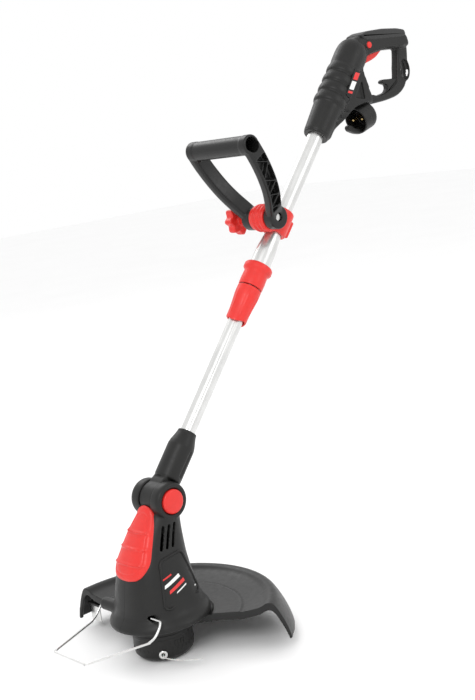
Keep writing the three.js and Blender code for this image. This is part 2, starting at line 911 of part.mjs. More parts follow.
// ---- rear handle, in the trimmer's frame ----
const GRIP_HALF_Y = 17;
const LOOP_HALF_Y = 7.5;
const LOCK_BUTTON = { x: 564, z: 809.5 };
const TRIGGER_PIN = { x: 606, z: 807 };

const pairs = (list) => list.map(([x, z]) => new THREE.Vector2(x, z));

const BODY_OUTLINE = [
  [440, 682],
  [470, 720],
  [510, 770],
  [520, 806],
  [537, 821],
  [562, 828],
  [600, 830],
  [636, 829],
  [656, 826],
  [665, 819],
  [666, 803],
  [640, 801],
  [610, 800.5],
  [588, 797.5],
  [568, 793.5],
  [552, 786],
  [547, 775],
  [554.6, 751],
  [563, 730.5],
  [560, 718],
  [540, 717.5],
  [522, 714.5],
  [508, 708],
  [490, 697],
  [467, 685],
  [452, 671],
];
const BODY_CAVITY = [
  [500, 715],
  [522, 764],
  [527, 800],
  [543, 815],
  [571, 823.5],
  [632, 826],
  [652, 823.5],
  [659, 816],
  [659, 808],
  [600, 805],
  [569, 799.5],
  [546, 790],
  [541, 775],
  [549, 750],
  [557, 732],
  [554, 723],
  [530, 720.5],
  [508, 714],
];
const LOOP_OUTLINE = [
  [550, 717.5],
  [587, 718.5],
  [612, 721.2],
  [634, 726],
  [651, 736],
  [660, 750],
  [666.5, 775],
  [669.5, 800],
  [667, 818],
  [646, 818],
  [643, 794],
  [639, 771],
  [635.5, 752],
  [627, 743],
  [607, 733.5],
  [595, 731],
  [584, 729.5],
  [573, 732],
  [552, 732],
];
const HOOK_OUTLINE = [
  [605, 730],
  [628, 739],
  [639, 749],
  [639, 754],
  [615, 753.5],
  [605, 754],
  [600, 752],
  [600, 748],
  [605, 746.5],
  [611, 745],
  [612.5, 740],
];
const LUG_OUTLINE = [
  [536, 681],
  [536, 672.5],
  [522, 675],
  [509, 680],
  [506, 685],
  [509, 689.5],
  [515, 689],
  [522, 684],
];
const REAR_SCREWS = [
  [520, 722],
  [540, 803],
  [648, 812],
];

function rearBarrel() {
  const profile = [
    [0, NOSE_LOW],
    [19.4, NOSE_LOW],
    [20.6, NOSE_LOW + 1.6],
    [22, 640],
    [23.6, 666],
  ];
  for (let i = 0; i < 4; i++) {
    const u = 669 + 18.6 * i;
    profile.push([24, u], [26, u + 4], [26, u + 8], [24, u + 14]);
  }
  profile.push([25.6, 752], [25, 774], [19, 788], [0, 794]);
  return placed(turned(profile, 24), shaft.matrix);
}

const inlet = {
  from: new THREE.Vector3(560, 0, 703.5),
  to: new THREE.Vector3(530, 0, 694),
  outer: 22,
  inner: 19.2,
};

function bodyOutside() {
  return join(
    rearBarrel(),
    sidePlate(pairs(BODY_OUTLINE), -GRIP_HALF_Y, GRIP_HALF_Y, 6),
    sidePlate(pairs(LOOP_OUTLINE), -LOOP_HALF_Y, LOOP_HALF_Y, 3, [], 1),
  );
}

function makeRearHandle(group) {
  const outside = bodyOutside();
  const barrelHollow = turned([
    [0, TUBE_TOP + 1],
    [19.5, TUBE_TOP + 4],
    [20.5, 750],
    [0, 762],
  ]);
  const tubeBore = disc(UPPER_TUBE_R + GAP, 590, TUBE_TOP + 2);
  const tubeSeat = placed(join(tubeBore, barrelHollow), shaft.matrix);
  const cavity = sidePlate(pairs(BODY_CAVITY), -GRIP_HALF_Y + 3, GRIP_HALF_Y - 3, 3, [], 1);
  // The hanging slot is narrowest in the middle and flares towards both faces.
  const slot = loft(
    [-8, -4, 0, 4, 8].map((y) => {
      const flare = (y * y) / 14;
      const ring = oval(0, 0, 7.5 + flare, 13.5 + flare, 2, 20);
      return ring.map((p) => new THREE.Vector3(655 + p.x, y, 766 + p.y));
    }),
  );
  const grooves = [0, 1, 2].map((i) =>
    placed(
      box(-26, -14, -30, -15.4, -1.6, 1.6),
      new THREE.Matrix4().makeRotationY(0.35).setPosition(512 - 11 * i, 0, 706 - 9 * i),
    ),
  );
  const pillars = REAR_SCREWS.map(([x, z]) =>
    crossbar(x, z, -GRIP_HALF_Y + 1, GRIP_HALF_Y - 1, 4.2, 12),
  );
  const screwBores = REAR_SCREWS.flatMap(([x, z]) => [
    crossbar(x, z, -9, 30, 1.9, 8),
    crossbar(x, z, 12.6, 30, 3.8, 12),
  ]);
  const openings = [
    slot,
    box(544, 614, -7, 7, 772, 820),
    crossbar(LOCK_BUTTON.x, LOCK_BUTTON.z, -30, 0, 5.6, 16),
    crossbar(TRIGGER_PIN.x, TRIGGER_PIN.z, -GRIP_HALF_Y + 1.5, GRIP_HALF_Y - 1.5, 2.4, 10),
  ];
  const shell = join(cut(outside, cavity, tubeSeat), ...pillars);
  const whole = cut(shell, ...openings, ...screwBores, ...grooves);
  add(group, "rear_housing_left", leftHalf(whole), black());
  add(group, "rear_housing_right", rightHalf(whole), black());
  REAR_SCREWS.forEach(([x, z], i) =>
    add(group, `rear_screw_${i + 1}`, screwAlongY(x, z, 13, 18), steel()),
  );
  const nudges = [
    [GAP, 0],
    [-GAP, 0],
    [0, GAP],
    [0, -GAP],
  ];
  const clearOf = (shape) => cut(shape, ...nudges.map(([x, z]) => outside.translate([x, 0, z])));
  const hook = clearOf(sidePlate(pairs(HOOK_OUTLINE), -5.5, 5.5, 1, [], 1));
  add(group, "cord_hook", biggest(hook), black());
  const along = (share) => inlet.from.clone().lerp(inlet.to, share).toArray();
  const cup = cut(
    bar(along(0), along(1), inlet.outer, 24),
    bar(along(0.16), along(1.1), inlet.inner, 24),
  );
  const lug = sidePlate(pairs(LUG_OUTLINE), -5, 5, 1.5, [], 1);
  add(group, "inlet_shroud", biggest(clearOf(join(cup, lug))), black());
  for (const [name, side] of [
    ["inlet_pin_left", -1],
    ["inlet_pin_right", 1],
  ]) {
    const way = inlet.to.clone().sub(inlet.from).normalize();
    const root = inlet.from.clone().addScaledVector(way, 6.6).setY(side * 9.5);
    const tip = root.clone().addScaledVector(way, 20);
    add(group, name, bar(root.toArray(), tip.toArray(), 2.4, 10), brass());
  }
  add(group, "switch_body", box(524, 540, -9, 9, 762, 784), plastic(0x3a3a40));
  const insertTop = [
    [548, 826],
    [554, 819],
    [560, 817],
    [648, 817.5],
    [658, 821],
    [655, 829.5],
    [636, 832.4],
    [600, 833.4],
    [564, 831.4],
  ];
  const insert = cut(
    clearOf(sidePlate(pairs(insertTop), -GRIP_HALF_Y - 1.4, GRIP_HALF_Y + 1.4, 5)),
    outside.translate([0, GAP, 0]),
    outside.translate([0, -GAP, 0]),
  );
  add(group, "grip_insert", biggest(insert), plastic(0x1f1f1e, 0.8));
}

function makeTrigger(group) {
  const outline = pairs([
    [551, 777],
    [554, 790],
    [566, 800],
    [586, 805],
    [601, 811],
    [609, 811],
    [611, 805],
    [603, 798.5],
    [590, 790],
    [577, 785.5],
    [565, 782.5],
  ]);
  const lever = cut(
    sidePlate(outline, -6, 6, 1.5, [], 1),
    crossbar(TRIGGER_PIN.x, TRIGGER_PIN.z, -20, 20, 2.5, 10),
  );
  add(group, "trigger", lever, red());
}

function makeTriggerFittings(group) {
  add(group, "trigger_pin", crossbar(TRIGGER_PIN.x, TRIGGER_PIN.z, -14, 14, 2.1, 10), steel());
  const coil = spring(3.4, 0.6, 0, 12, 3).translate([576, 0, 807]);
  add(group, "trigger_spring", coil, steel());
}

function makeLockButton(group) {
  const { x, z } = LOCK_BUTTON;
  const button = join(crossbar(x, z, -19.4, -10, 5.2, 16), crossbar(x, z, -12, -9.4, 2.4, 10));
  add(group, "lock_off_button", button, red());
}

// ---- assembly ----
makeHousing(trimmer);
makeFrontCover(trimmer);
makeSpool(trimmer);
makeDriveShaft(trimmer);
makeMotor(trimmer);
makeGuard(trimmer);
makeWireGuard(trimmer);
makeLineCutter(trimmer);
makeTiltJoint(trimmer);
makeNeck(shaft);
makeTubes(shaft);
makeUpperTube(shaft);
makeCollars(shaft);
makeTwistCollar(shaft);
makeClamp(shaft);
makeClampBolt(shaft);
makeFrontHandle(shaft);
makeClampKnob(shaft);
makeRearHandle(trimmer);
makeTrigger(trimmer);
makeTriggerFittings(trimmer);
makeLockButton(trimmer);

export default trimmer;
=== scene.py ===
"""The looks of a corded string trimmer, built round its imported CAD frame.

Shapes are worked out in millimetres, +Z up along the spool axis and +X back towards the user,
and turned into metres when a mesh is written.
"""

import logging
from collections.abc import Callable
from dataclasses import dataclass, field
from enum import Enum

import bpy
import numpy as np
from mathutils import Matrix, Vector


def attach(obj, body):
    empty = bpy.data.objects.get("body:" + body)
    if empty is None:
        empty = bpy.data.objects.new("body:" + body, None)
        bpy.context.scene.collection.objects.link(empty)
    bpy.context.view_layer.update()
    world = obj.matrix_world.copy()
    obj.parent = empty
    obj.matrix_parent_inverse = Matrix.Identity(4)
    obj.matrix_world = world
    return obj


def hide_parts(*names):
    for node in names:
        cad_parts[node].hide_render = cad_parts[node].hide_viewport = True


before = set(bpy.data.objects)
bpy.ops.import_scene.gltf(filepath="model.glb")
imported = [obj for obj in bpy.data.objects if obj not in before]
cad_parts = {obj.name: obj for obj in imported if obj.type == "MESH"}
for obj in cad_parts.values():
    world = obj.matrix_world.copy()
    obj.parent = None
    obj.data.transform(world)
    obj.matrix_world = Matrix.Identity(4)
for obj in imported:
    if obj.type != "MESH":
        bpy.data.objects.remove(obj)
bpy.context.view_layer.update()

Array = np.ndarray
Socket = bpy.types.NodeSocket
Ripple = Callable[[Array, Array, Array], tuple[Array, Array]]
MM = 0.001
SHAFT_ANGLE = 48.8  # degrees between the shaft and the cutting plane
PIVOT = (30.0, 0.0, 218.0)  # tilt axis of the head
LOG = logging.getLogger("trimmer")


class Body(str, Enum):
    """The CAD bodies that pieces ride on."""

    REAR = "rear_handle"
    TRIGGER = "trigger"
    LOCK = "lock_off_button"
    CLAMP = "handle_clamp"
    FRONT = "front_handle"
    KNOB = "clamp_knob"
    TWIST = "twist_collar"
    LOWER = "lower_shaft"
    HEAD = "head"
    TILT = "tilt_button"
    WIRE = "wire_guard"
    SPOOL = "spool"
    BUMP = "bump_knob"


class Ends(Enum):
    """How the two ends of a skin are closed."""

    FAN = 1
    FLAT = 2
    LOOP = 3


# ---- frames and outlines ----


@dataclass(frozen=True)
class Axes:
    """A local frame: an origin and three unit rows, its axes in the trimmer's own frame."""

    origin: tuple[float, float, float] = (0.0, 0.0, 0.0)
    rows: tuple[tuple[float, float, float], ...] = ((1, 0, 0), (0, 1, 0), (0, 0, 1))

    def world(self, points: Array) -> Array:
        """Local points in the trimmer's frame: origin plus the points times the rows."""
        return np.asarray(self.origin, float) + np.asarray(points, float) @ np.asarray(self.rows, float)

    def inner(self, origin: tuple[float, float, float], rows: tuple) -> "Axes":
        """A frame given inside this one."""
        turned = np.asarray(rows, float) @ np.asarray(self.rows, float)
        return Axes(tuple(self.world(origin)), tuple(map(tuple, turned)))


def across(x: float, z: float, parent: Axes = Axes()) -> Axes:
    """A frame at (x, z) whose Z axis is the world's Y, for pieces that lie across."""
    return parent.inner((x, 0, z), ((1, 0, 0), (0, 0, -1), (0, 1, 0)))


def about_z(degrees: float, x: float = 0.0, z: float = 0.0) -> Axes:
    """A frame turned about the spool axis, with its X axis pointing outwards."""
    c, s = np.cos(np.radians(degrees)), np.sin(np.radians(degrees))
    return Axes((x * c, x * s, z), ((c, s, 0), (-s, c, 0), (0, 0, 1)))


def along(start: tuple, end: tuple) -> Axes:
    """A frame whose Z axis runs between two points of one plane of constant Y.

    Args:
        start: the frame's origin.
        end: the point that Z aims at.
    Returns:
        The frame.
    """
    way = np.subtract(end, start) / np.linalg.norm(np.subtract(end, start))
    side = np.array([way[2], 0.0, -way[0]])
    return Axes(tuple(start), (tuple(side), (0.0, 1.0, 0.0), tuple(way)))


def leaning(degrees: float, origin: tuple) -> Axes:
    """A frame whose Z axis leans from the spool axis towards the user."""
    c, s = float(np.cos(np.radians(degrees))), float(np.sin(np.radians(degrees)))
    return Axes(origin, ((c, 0.0, -s), (0.0, 1.0, 0.0), (s, 0.0, c)))


PLAN = Axes()
SHAFT = leaning(90 - SHAFT_ANGLE, PIVOT)
DOWNWARD = ((1, 0, 0), (0, -1, 0), (0, 0, -1))  # rows of a frame whose Z axis points down


def through(points: list, steps: int = 6, closed: bool = True) -> Array:
    """A smooth curve through points, by the Catmull-Rom cubic on each stretch.

    Args:
        points: corner points of any dimension.
        steps: samples on each stretch.
        closed: whether the last point joins the first.
    Returns:
        The samples, one row each.
    """
    p = np.asarray(points, float)
    if closed:
        a, b, c, d = np.roll(p, 1, 0), p, np.roll(p, -1, 0), np.roll(p, -2, 0)
    else:
        long = np.vstack([2 * p[0] - p[1], p, 2 * p[-1] - p[-2]])
        a, b, c, d = long[:-3], long[1:-2], long[2:-1], long[3:]
    t = (np.arange(steps) / steps)[None, :, None]
    a, b, c, d = (q[:, None, :] for q in (a, b, c, d))
    curve = b + 0.5 * t * (c - a + t * (2 * a - 5 * b + 4 * c - d + t * (3 * (b - c) + d - a)))
    flat = curve.reshape(-1, p.shape[1])
    return flat if closed else np.vstack([flat, p[-1]])


def eased(points: list, radius: float, steps: int = 5, closed: bool = True) -> Array:
    """Corner points with each corner rounded by a quadratic arc that starts radius before it.

    Args:
        points: corner points of any dimension.
        radius: how far from the corner the arc starts, at most 0.45 of the shorter side.
        steps: samples on each arc.
        closed: whether the last point joins the first.
    Returns:
        The samples, one row each.
    """
    p = np.asarray(points, float)
    before, after = np.roll(p, 1, 0) - p, np.roll(p, -1, 0) - p
    far = [np.linalg.norm(q, axis=1)[:, None] for q in (before, after)]
    reach = np.minimum(radius, 0.45 * np.minimum(*far))
    start, end = p + before / far[0] * reach, p + after / far[1] * reach
    t = np.linspace(0, 1, steps)[None, :, None]
    arcs = (1 - t) ** 2 * start[:, None] + 2 * t * (1 - t) * p[:, None] + t * t * end[:, None]
    if closed:
        return arcs.reshape(-1, p.shape[1])
    return np.vstack([p[:1], arcs[1:-1].reshape(-1, p.shape[1]), p[-1:]])


def inset(outline: Array, amount: float) -> Array:
    """A closed plane outline moved inwards along the normal at each point.

    Args:
        outline: rows of x and z.
        amount: the distance.
    Returns:
        The moved outline.
    """
    way = np.roll(outline, -1, 0) - np.roll(outline, 1, 0)
    way /= np.maximum(np.linalg.norm(way, axis=1)[:, None], 1e-9)
    x, z = outline.T
    turn = np.sign(np.sum(x * np.roll(z, -1) - np.roll(x, -1) * z))
    return outline + turn * amount * np.stack([-way[:, 1], way[:, 0]], 1)


# ---- solids ----


@dataclass
class Solid:
    """Closed surfaces: points in millimetres, and faces grouped by their number of corners."""

    points: Array
    faces: list[Array]

    def volume(self) -> float:
        """Signed volume, as the sum over triangles of a . (b x c) / 6.

        Returns:
            The volume in cubic millimetres, negative where the faces point inwards.
        """
        total = 0.0
        for group in self.faces:
            first = self.points[group[:, 0]]
            for k in range(1, group.shape[1] - 1):
                crossed = np.cross(self.points[group[:, k]], self.points[group[:, k + 1]])
                total += float(np.sum(first * crossed)) / 6
        return total

    def outward(self) -> "Solid":
        """The same surface with its faces turned to point outwards."""
        if self.volume() >= 0:
            return self
        return Solid(self.points, [group[:, ::-1] for group in self.faces])

    def on(self, axes: Axes) -> "Solid":
        """The solid, made in a local frame, placed in the trimmer's frame."""
        return Solid(axes.world(self.points), self.faces).outward()

    def __add__(self, other: "Solid") -> "Solid":
        """Two solids as one, each still closed by itself.

        Args:
            other: the second solid.
        Returns:
            Both.
        """
        shift = len(self.points)
        moved = [group + shift for group in other.faces]
        return Solid(np.vstack([self.points, other.points]), self.faces + moved)

    def mesh(self, name: str = "bench") -> bpy.types.Mesh:
        """A mesh of the solid, in metres.

        Args:
            name: the mesh's name.
        Returns:
            The mesh.
        """
        made = bpy.data.meshes.new(name)
        faces = [face for group in self.faces for face in group.tolist()]
        made.from_pydata(self.points * MM, [], faces)
        made.update()
        return made


def together(solids: list[Solid]) -> Solid:
    """Several solids as one.

    Args:
        solids: at least one closed solid.
    Returns:
        All of them, each still closed by itself.
    """
    whole = solids[0]
    for solid in solids[1:]:
        whole = whole + solid
    return whole


def skin(rings: Array, ends: Ends = Ends.FAN) -> Solid:
    """A closed surface through rings of equally many points.

    Args:
        rings: array of ring, point and coordinate.
        ends: a fan to the middle, one flat face, or the last ring joined to the first.
    Returns:
        The solid, facing outwards.
    """
    rows, count = rings.shape[:2]
    points = rings.reshape(-1, 3)
    row = np.arange(rows if ends is Ends.LOOP else rows - 1)[:, None] * count
    here = np.arange(count)[None, :]
    there, above = (here + 1) % count, (row + count) % (rows * count)
    quads = np.stack([row + here, row + there, above + there, above + here], -1).reshape(-1, 4)
    faces = [quads]
    last = (rows - 1) * count
    if ends is Ends.FLAT:
        faces.append(np.stack([np.arange(count)[::-1], last + np.arange(count)]))
    elif ends is Ends.FAN:
        points = np.vstack([points, rings[0].mean(0), rings[-1].mean(0)])
        pole = rows * count
        low = np.stack([np.full(count, pole), there[0], here[0]], 1)
        high = np.stack([np.full(count, pole + 1), last + here[0], last + there[0]], 1)
        faces.append(np.vstack([low, high]))
    return Solid(points, faces).outward()


def turned(
    profile: list | Array, count: int = 64, ripple: Ripple | None = None, ends: Ends = Ends.FAN
) -> Solid:
    """A profile of [radius, height] rows turned about Z: (r cos t, r sin t, h).

    Args:
        profile: rows of radius and height.
        count: points on each ring.
        ripple: a function of the angle, radius and height arrays that gives radius and height back.
        ends: FAN for a profile from axis to axis, LOOP for one closed on itself.
    Returns:
        The solid.
    """
    rows = np.asarray(profile, float)
    t = np.linspace(0, 2 * np.pi, count, endpoint=False)[None, :]
    r, h = np.maximum(rows[:, :1], 0.02) + 0 * t, rows[:, 1:] + 0 * t
    if ripple is not None:
        r, h = ripple(t + 0 * r, r, h)
    return skin(np.stack([r * np.cos(t), r * np.sin(t), h], -1), ends)


def soft_turned(
    profile: list, radius: float = 0.8, count: int = 64, ripple: Ripple | None = None
) -> Solid:
    """A profile from axis to axis with its corners rounded, turned about Z."""
    return turned(eased(profile, radius, closed=False), count, ripple)


def ring(
    profile: list, radius: float = 0.5, count: int = 64, ripple: Ripple | None = None
) -> Solid:
    """A profile closed on itself with its corners rounded, turned about Z."""
    return turned(eased(profile, radius, 4), count, ripple, Ends.LOOP)


def plate(outline: Array, low: float, high: float, rim: float, steps: int = 6) -> Solid:
    """An outline in X and Z given thickness along Y, with quarter-round rims.

    At angle a from 0 to 90 degrees a rim's ring is inset by rim (1 - cos a) and rises by rim sin a.

    Args:
        outline: rows of x and z.
        low: where the plate starts along Y.
        high: where it ends.
        rim: radius of the rims.
        steps: rings in each rim.
    Returns:
        The solid.
    """
    a = np.linspace(0, np.pi / 2, steps)
    depth, rise = rim * (1 - np.cos(a)), rim * np.sin(a)
    insets = np.concatenate([depth[::-1], depth])
    heights = np.concatenate([(low + rim - rise)[::-1], high - rim + rise])
    rings = [np.insert(inset(outline, d), 1, y, axis=1) for d, y in zip(insets, heights)]
    return skin(np.array(rings), Ends.FLAT)


def block(x: tuple, y: tuple, z: tuple, rim: float = 0.6) -> Solid:
    """A box with rounded edges between two values on each axis."""
    corners = [(x[0], z[0]), (x[1], z[0]), (x[1], z[1]), (x[0], z[1])]
    return plate(eased(corners, 1.6 * rim, 5), y[0], y[1], rim, 4)


def swept(path: Array, section: Array, up: tuple, scale: Array | None = None) -> Solid:
    """A plane section carried along a path: path + s side + t top.

    Args:
        path: points of the path.
        section: rows of s and t.
        up: a direction that the section's t axis leans towards.
        scale: one factor for each path point.
    Returns:
        The solid, with flat ends.
    """
    way = np.gradient(path, axis=0)
    way /= np.linalg.norm(way, axis=1)[:, None]
    side = np.cross(np.asarray(up, float), way)
    side /= np.linalg.norm(side, axis=1)[:, None]
    top = np.cross(way, side)
    grow = np.ones(len(path)) if scale is None else scale
    s, t = section[:, 0][None, :, None], section[:, 1][None, :, None]
    spread = (s * side[:, None] + t * top[:, None]) * grow[:, None, None]
    return skin(path[:, None] + spread, Ends.FLAT)


def circle(radius: float, count: int = 12) -> Array:
    """Points of a circle, as rows of two."""
    t = np.linspace(0, 2 * np.pi, count, endpoint=False)
    return radius * np.stack([np.cos(t), np.sin(t)], 1)


def coil(radius: float, wire: float, low: float, high: float, turns: int) -> Solid:
    """Round wire wound about Z: (R cos t, R sin t) rising evenly.

    Args:
        radius: from the axis to the wire's middle.
        wire: the wire's own radius.
        low: where the coil starts.
        high: where it ends.
        turns: how many turns.
    Returns:
        The solid.
    """
    t = np.linspace(0, 2 * np.pi * turns, 28 * turns)
    z = np.linspace(low + wire, high - wire, len(t))
    path = np.stack([radius * np.cos(t), radius * np.sin(t), z], 1)
    return swept(path, circle(wire, 10), (0, 0, 1))


# ---- mesh work ----


def evaluated(mesh: bpy.types.Mesh, *steps: tuple[str, dict]) -> bpy.types.Mesh:
    """A mesh after modifiers.

    Args:
        mesh: where the modifiers start.
        steps: the kind and settings of each modifier, in order.
    Returns:
        A new mesh.
    """
    bench = bpy.data.objects.new("bench", mesh)
    bpy.context.scene.collection.objects.link(bench)
    for kind, settings in steps:
        modifier = bench.modifiers.new(kind.lower(), kind)
        for key, value in settings.items():
            setattr(modifier, key, value)
    graph = bpy.context.evaluated_depsgraph_get()
    made = bpy.data.meshes.new_from_object(bench.evaluated_get(graph))
    bpy.data.objects.remove(bench)
    return made


def clipped(mesh: bpy.types.Mesh, tool: Solid, operation: str = "DIFFERENCE") -> bpy.types.Mesh:
    """A mesh cut by a solid.

    Args:
        mesh: a closed mesh.
        tool: the solid.
        operation: DIFFERENCE to take the solid away, INTERSECT to keep what is inside it.
    Returns:
        A new mesh.
    """
    cutter = bpy.data.objects.new("cutter", tool.mesh())
    bpy.context.scene.collection.objects.link(cutter)
    settings = {"operation": operation, "object": cutter, "solver": "EXACT"}
    made = evaluated(mesh, ("BOOLEAN", settings))
    bpy.data.objects.remove(cutter)
    return made


def moulded(
    core: Solid,
    cuts: tuple | list = (),
    extra: Solid | None = None,
    pitch: float = 1.0,
    rounds: int = 3,
) -> bpy.types.Mesh:
    """One moulding: solids melted together on a voxel grid, cut, added to and eased.

    Args:
        core: overlapping closed solids.
        cuts: what is taken away, one after the other; the parts of one cut don't overlap.
        extra: what is put back after the cuts.
        pitch: the grid's step.
        rounds: how many times the surface is eased at the end.
    Returns:
        One smooth mesh.
    """
    grid = {"mode": "VOXEL", "voxel_size": pitch * MM}
    mesh = core.mesh()
    if cuts:
        mesh = evaluated(mesh, ("REMESH", grid), ("SMOOTH", {"factor": 0.5, "iterations": 2}))
    for tool in cuts:
        mesh = clipped(mesh, tool)
    if extra is not None:
        points = np.empty(3 * len(mesh.vertices))
        mesh.vertices.foreach_get("co", points)
        faces = [list(p.vertices) for p in mesh.polygons]
        shift = len(mesh.vertices)
        faces += [(np.array(f) + shift).tolist() for group in extra.faces for f in group.tolist()]
        joined = bpy.data.meshes.new("bench")
        joined.from_pydata(np.vstack([points.reshape(-1, 3), extra.points * MM]), [], faces)
        mesh = joined
    return evaluated(mesh, ("REMESH", grid), ("SMOOTH", {"factor": 0.5, "iterations": rounds}))


def half_space(side: int, gap: float = 0.14) -> Solid:
    """A large block on one side of the parting plane.

    Args:
        side: 1 for the side of positive Y, -1 for the other.
        gap: how far the block stops short of the plane.
    Returns:
        The solid.
    """
    reach = 1500.0
    low, high = (gap, reach) if side > 0 else (-reach, -gap)
    corners = np.array([(-reach, -reach), (reach, -reach), (reach, reach), (-reach, reach)])
    return plate(corners, low, high, 0.01, 2)


# ---- finishes ----


class Nodes:
    """A material's node tree while it is being written."""

    def __init__(self, name: str) -> None:
        """Starts a material.

        Args:
            name: the material's name.
        """
        self.material = bpy.data.materials.new(name)
        self.material.use_nodes = True
        self.tree = self.material.node_tree
        self.shader = self.tree.nodes["Principled BSDF"]
        self.place = self.tree.nodes.new("ShaderNodeTexCoord").outputs["Object"]

    def add(self, kind: str, inputs: dict, **settings) -> bpy.types.Node:
        """Adds a node.

        Args:
            kind: the node's type.
            inputs: a value or another node's socket for each input.
            settings: the node's own properties.
        Returns:
            The node.
        """
        node = self.tree.nodes.new(kind)
        for key, value in settings.items():
            setattr(node, key, value)
        for key, value in inputs.items():
            if isinstance(value, Socket):
                self.tree.links.new(value, node.inputs[key])
            else:
                node.inputs[key].default_value = value
        return node

    def noise(self, per_metre: float, detail: float = 3.0, place: Socket | None = None) -> Socket:
        """Noise of the given fineness on Object coordinates."""
        inputs = {"Vector": place or self.place, "Scale": per_metre, "Detail": detail}
        return self.add("ShaderNodeTexNoise", inputs).outputs["Fac"]

    def ranged(self, value: Socket, low: float, high: float, spread: float = 0.22) -> Socket:
        """A noise value stretched to a range.

        Args:
            value: noise around one half.
            low: the lower end of the range.
            high: its upper end.
            spread: how far from one half the noise reaches.
        Returns:
            The stretched value.
        """
        inputs = {"Value": value, "From Min": 0.5 - spread, "From Max": 0.5 + spread}
        inputs |= {"To Min": low, "To Max": high}
        return self.add("ShaderNodeMapRange", inputs).outputs["Result"]

    def tint(self, value: Socket, dark: tuple, light: tuple, spread: float = 0.2) -> Socket:
        """A colour that runs from dark to light as a value passes one half.

        Args:
            value: the value.
            dark: the colour below one half.
            light: the colour above it.
            spread: how far from one half each end colour lies.
        Returns:
            The colour.
        """
        ramp = self.add("ShaderNodeValToRGB", {"Fac": value})
        first, second = ramp.color_ramp.elements
        first.position, second.position = 0.5 - spread, 0.5 + spread
        first.color, second.color = (*dark, 1.0), (*light, 1.0)
        return ramp.outputs["Color"]

    def bump(self, height: Socket, depth_mm: float, under: Socket | None = None) -> Socket:
        """A bump, over another one where there is one.

        Args:
            height: the relief, from 0 to 1.
            depth_mm: its depth.
            under: the normal that it is added to.
        Returns:
            The new normal.
        """
        inputs = {"Height": height, "Strength": 1.0, "Distance": depth_mm * MM}
        if under is not None:
            inputs["Normal"] = under
        return self.add("ShaderNodeBump", inputs).outputs["Normal"]

    def dress(self, **sockets) -> None:
        """Sets the shader's inputs.

        Args:
            sockets: a value or another node's socket for each input, named with underscores.
        """
        for key, value in sockets.items():
            socket = self.shader.inputs[key.replace("_", " ")]
            if isinstance(value, Socket):
                self.tree.links.new(value, socket)
            else:
                socket.default_value = value


def shade(colour: tuple, factor: float) -> tuple:
    """A colour made darker or lighter."""
    return tuple(min(1.0, part * factor) for part in colour)


@dataclass(frozen=True)
class Moulding:
    """Moulded plastic: spark-eroded grain, faint flow marks and uneven sheen."""

    name: str
    slot: str
    colour: tuple[float, float, float]
    roughness: float = 0.42
    grain_mm: float = 0.7
    grain_depth_mm: float = 0.03
    mottle: float = 0.12
    coat: float = 0.0
    glow: float = 0.0
    specular: float = 0.5

    def material(self) -> bpy.types.Material:
        """Writes the node tree.

        Returns:
            The node material.
        """
        nodes = Nodes(self.name)
        broad = nodes.noise(38.0, 4.0)
        flow = nodes.noise(160.0, 5.0)
        grain = nodes.noise(1000.0 / self.grain_mm, 2.0)
        low, high = shade(self.colour, 1 - self.mottle), shade(self.colour, 1 + self.mottle)
        worn = nodes.add("ShaderNodeMath", {0: broad, 1: flow}, operation="ADD").outputs[0]
        mixed = nodes.add("ShaderNodeMath", {0: worn, 1: 0.5}, operation="MULTIPLY").outputs[0]
        ripple = nodes.bump(broad, 0.12)
        nodes.dress(
            Base_Color=nodes.tint(mixed, low, high),
            Roughness=nodes.ranged(flow, self.roughness - 0.05, self.roughness + 0.07),
            Normal=nodes.bump(grain, self.grain_depth_mm, ripple),
            Specular_IOR_Level=self.specular,
            Coat_Weight=self.coat,
            Coat_Roughness=0.12,
            Subsurface_Weight=self.glow,
            Subsurface_Radius=(0.004, 0.001, 0.0008),
        )
        return nodes.material


@dataclass(frozen=True)
class Rubber:
    """Soft overmoulding with a fine pebbled surface."""

    name: str
    slot: str
    colour: tuple[float, float, float]
    pebble_mm: float = 1.1

    def material(self) -> bpy.types.Material:
        """Writes the node tree.

        Returns:
            The node material.
        """
        nodes = Nodes(self.name)
        pebbles = nodes.noise(1000.0 / self.pebble_mm, 1.0)
        dust = nodes.noise(90.0, 5.0)
        nodes.dress(
            Base_Color=nodes.tint(dust, shade(self.colour, 0.8), shade(self.colour, 1.35)),
            Roughness=nodes.ranged(dust, 0.62, 0.82),
            Normal=nodes.bump(pebbles, 0.06),
            Sheen_Weight=0.15,
        )
        return nodes.material


@dataclass(frozen=True)
class Metal:
    """Drawn or turned metal, brushed along a chosen direction."""

    name: str
    slot: str
    colour: tuple[float, float, float]
    roughness: float = 0.3
    lean: float = 0.0  # degrees from the spool axis, towards the user, that the brushing follows
    brushed: float = 0.02
    metallic: float = 1.0

    def material(self) -> bpy.types.Material:
        """Writes the node tree.

        Returns:
            The node material.
        """
        nodes = Nodes(self.name)
        turn = {"Vector": nodes.place, "Rotation": (0.0, -float(np.radians(self.lean)), 0.0)}
        upright = nodes.add("ShaderNodeMapping", turn).outputs["Vector"]
        stretch = {"Vector": upright, "Scale": (1.0, 1.0, 0.02)}
        streaks = nodes.noise(1500.0, 3.0, nodes.add("ShaderNodeMapping", stretch).outputs["Vector"])
        smudge = nodes.noise(45.0, 5.0)
        nodes.dress(
            Base_Color=nodes.tint(smudge, shade(self.colour, 0.9), self.colour),
            Metallic=self.metallic,
            Roughness=nodes.ranged(streaks, self.roughness - 0.06, self.roughness + 0.08),
            Normal=nodes.bump(streaks, self.brushed),
        )
        return nodes.material


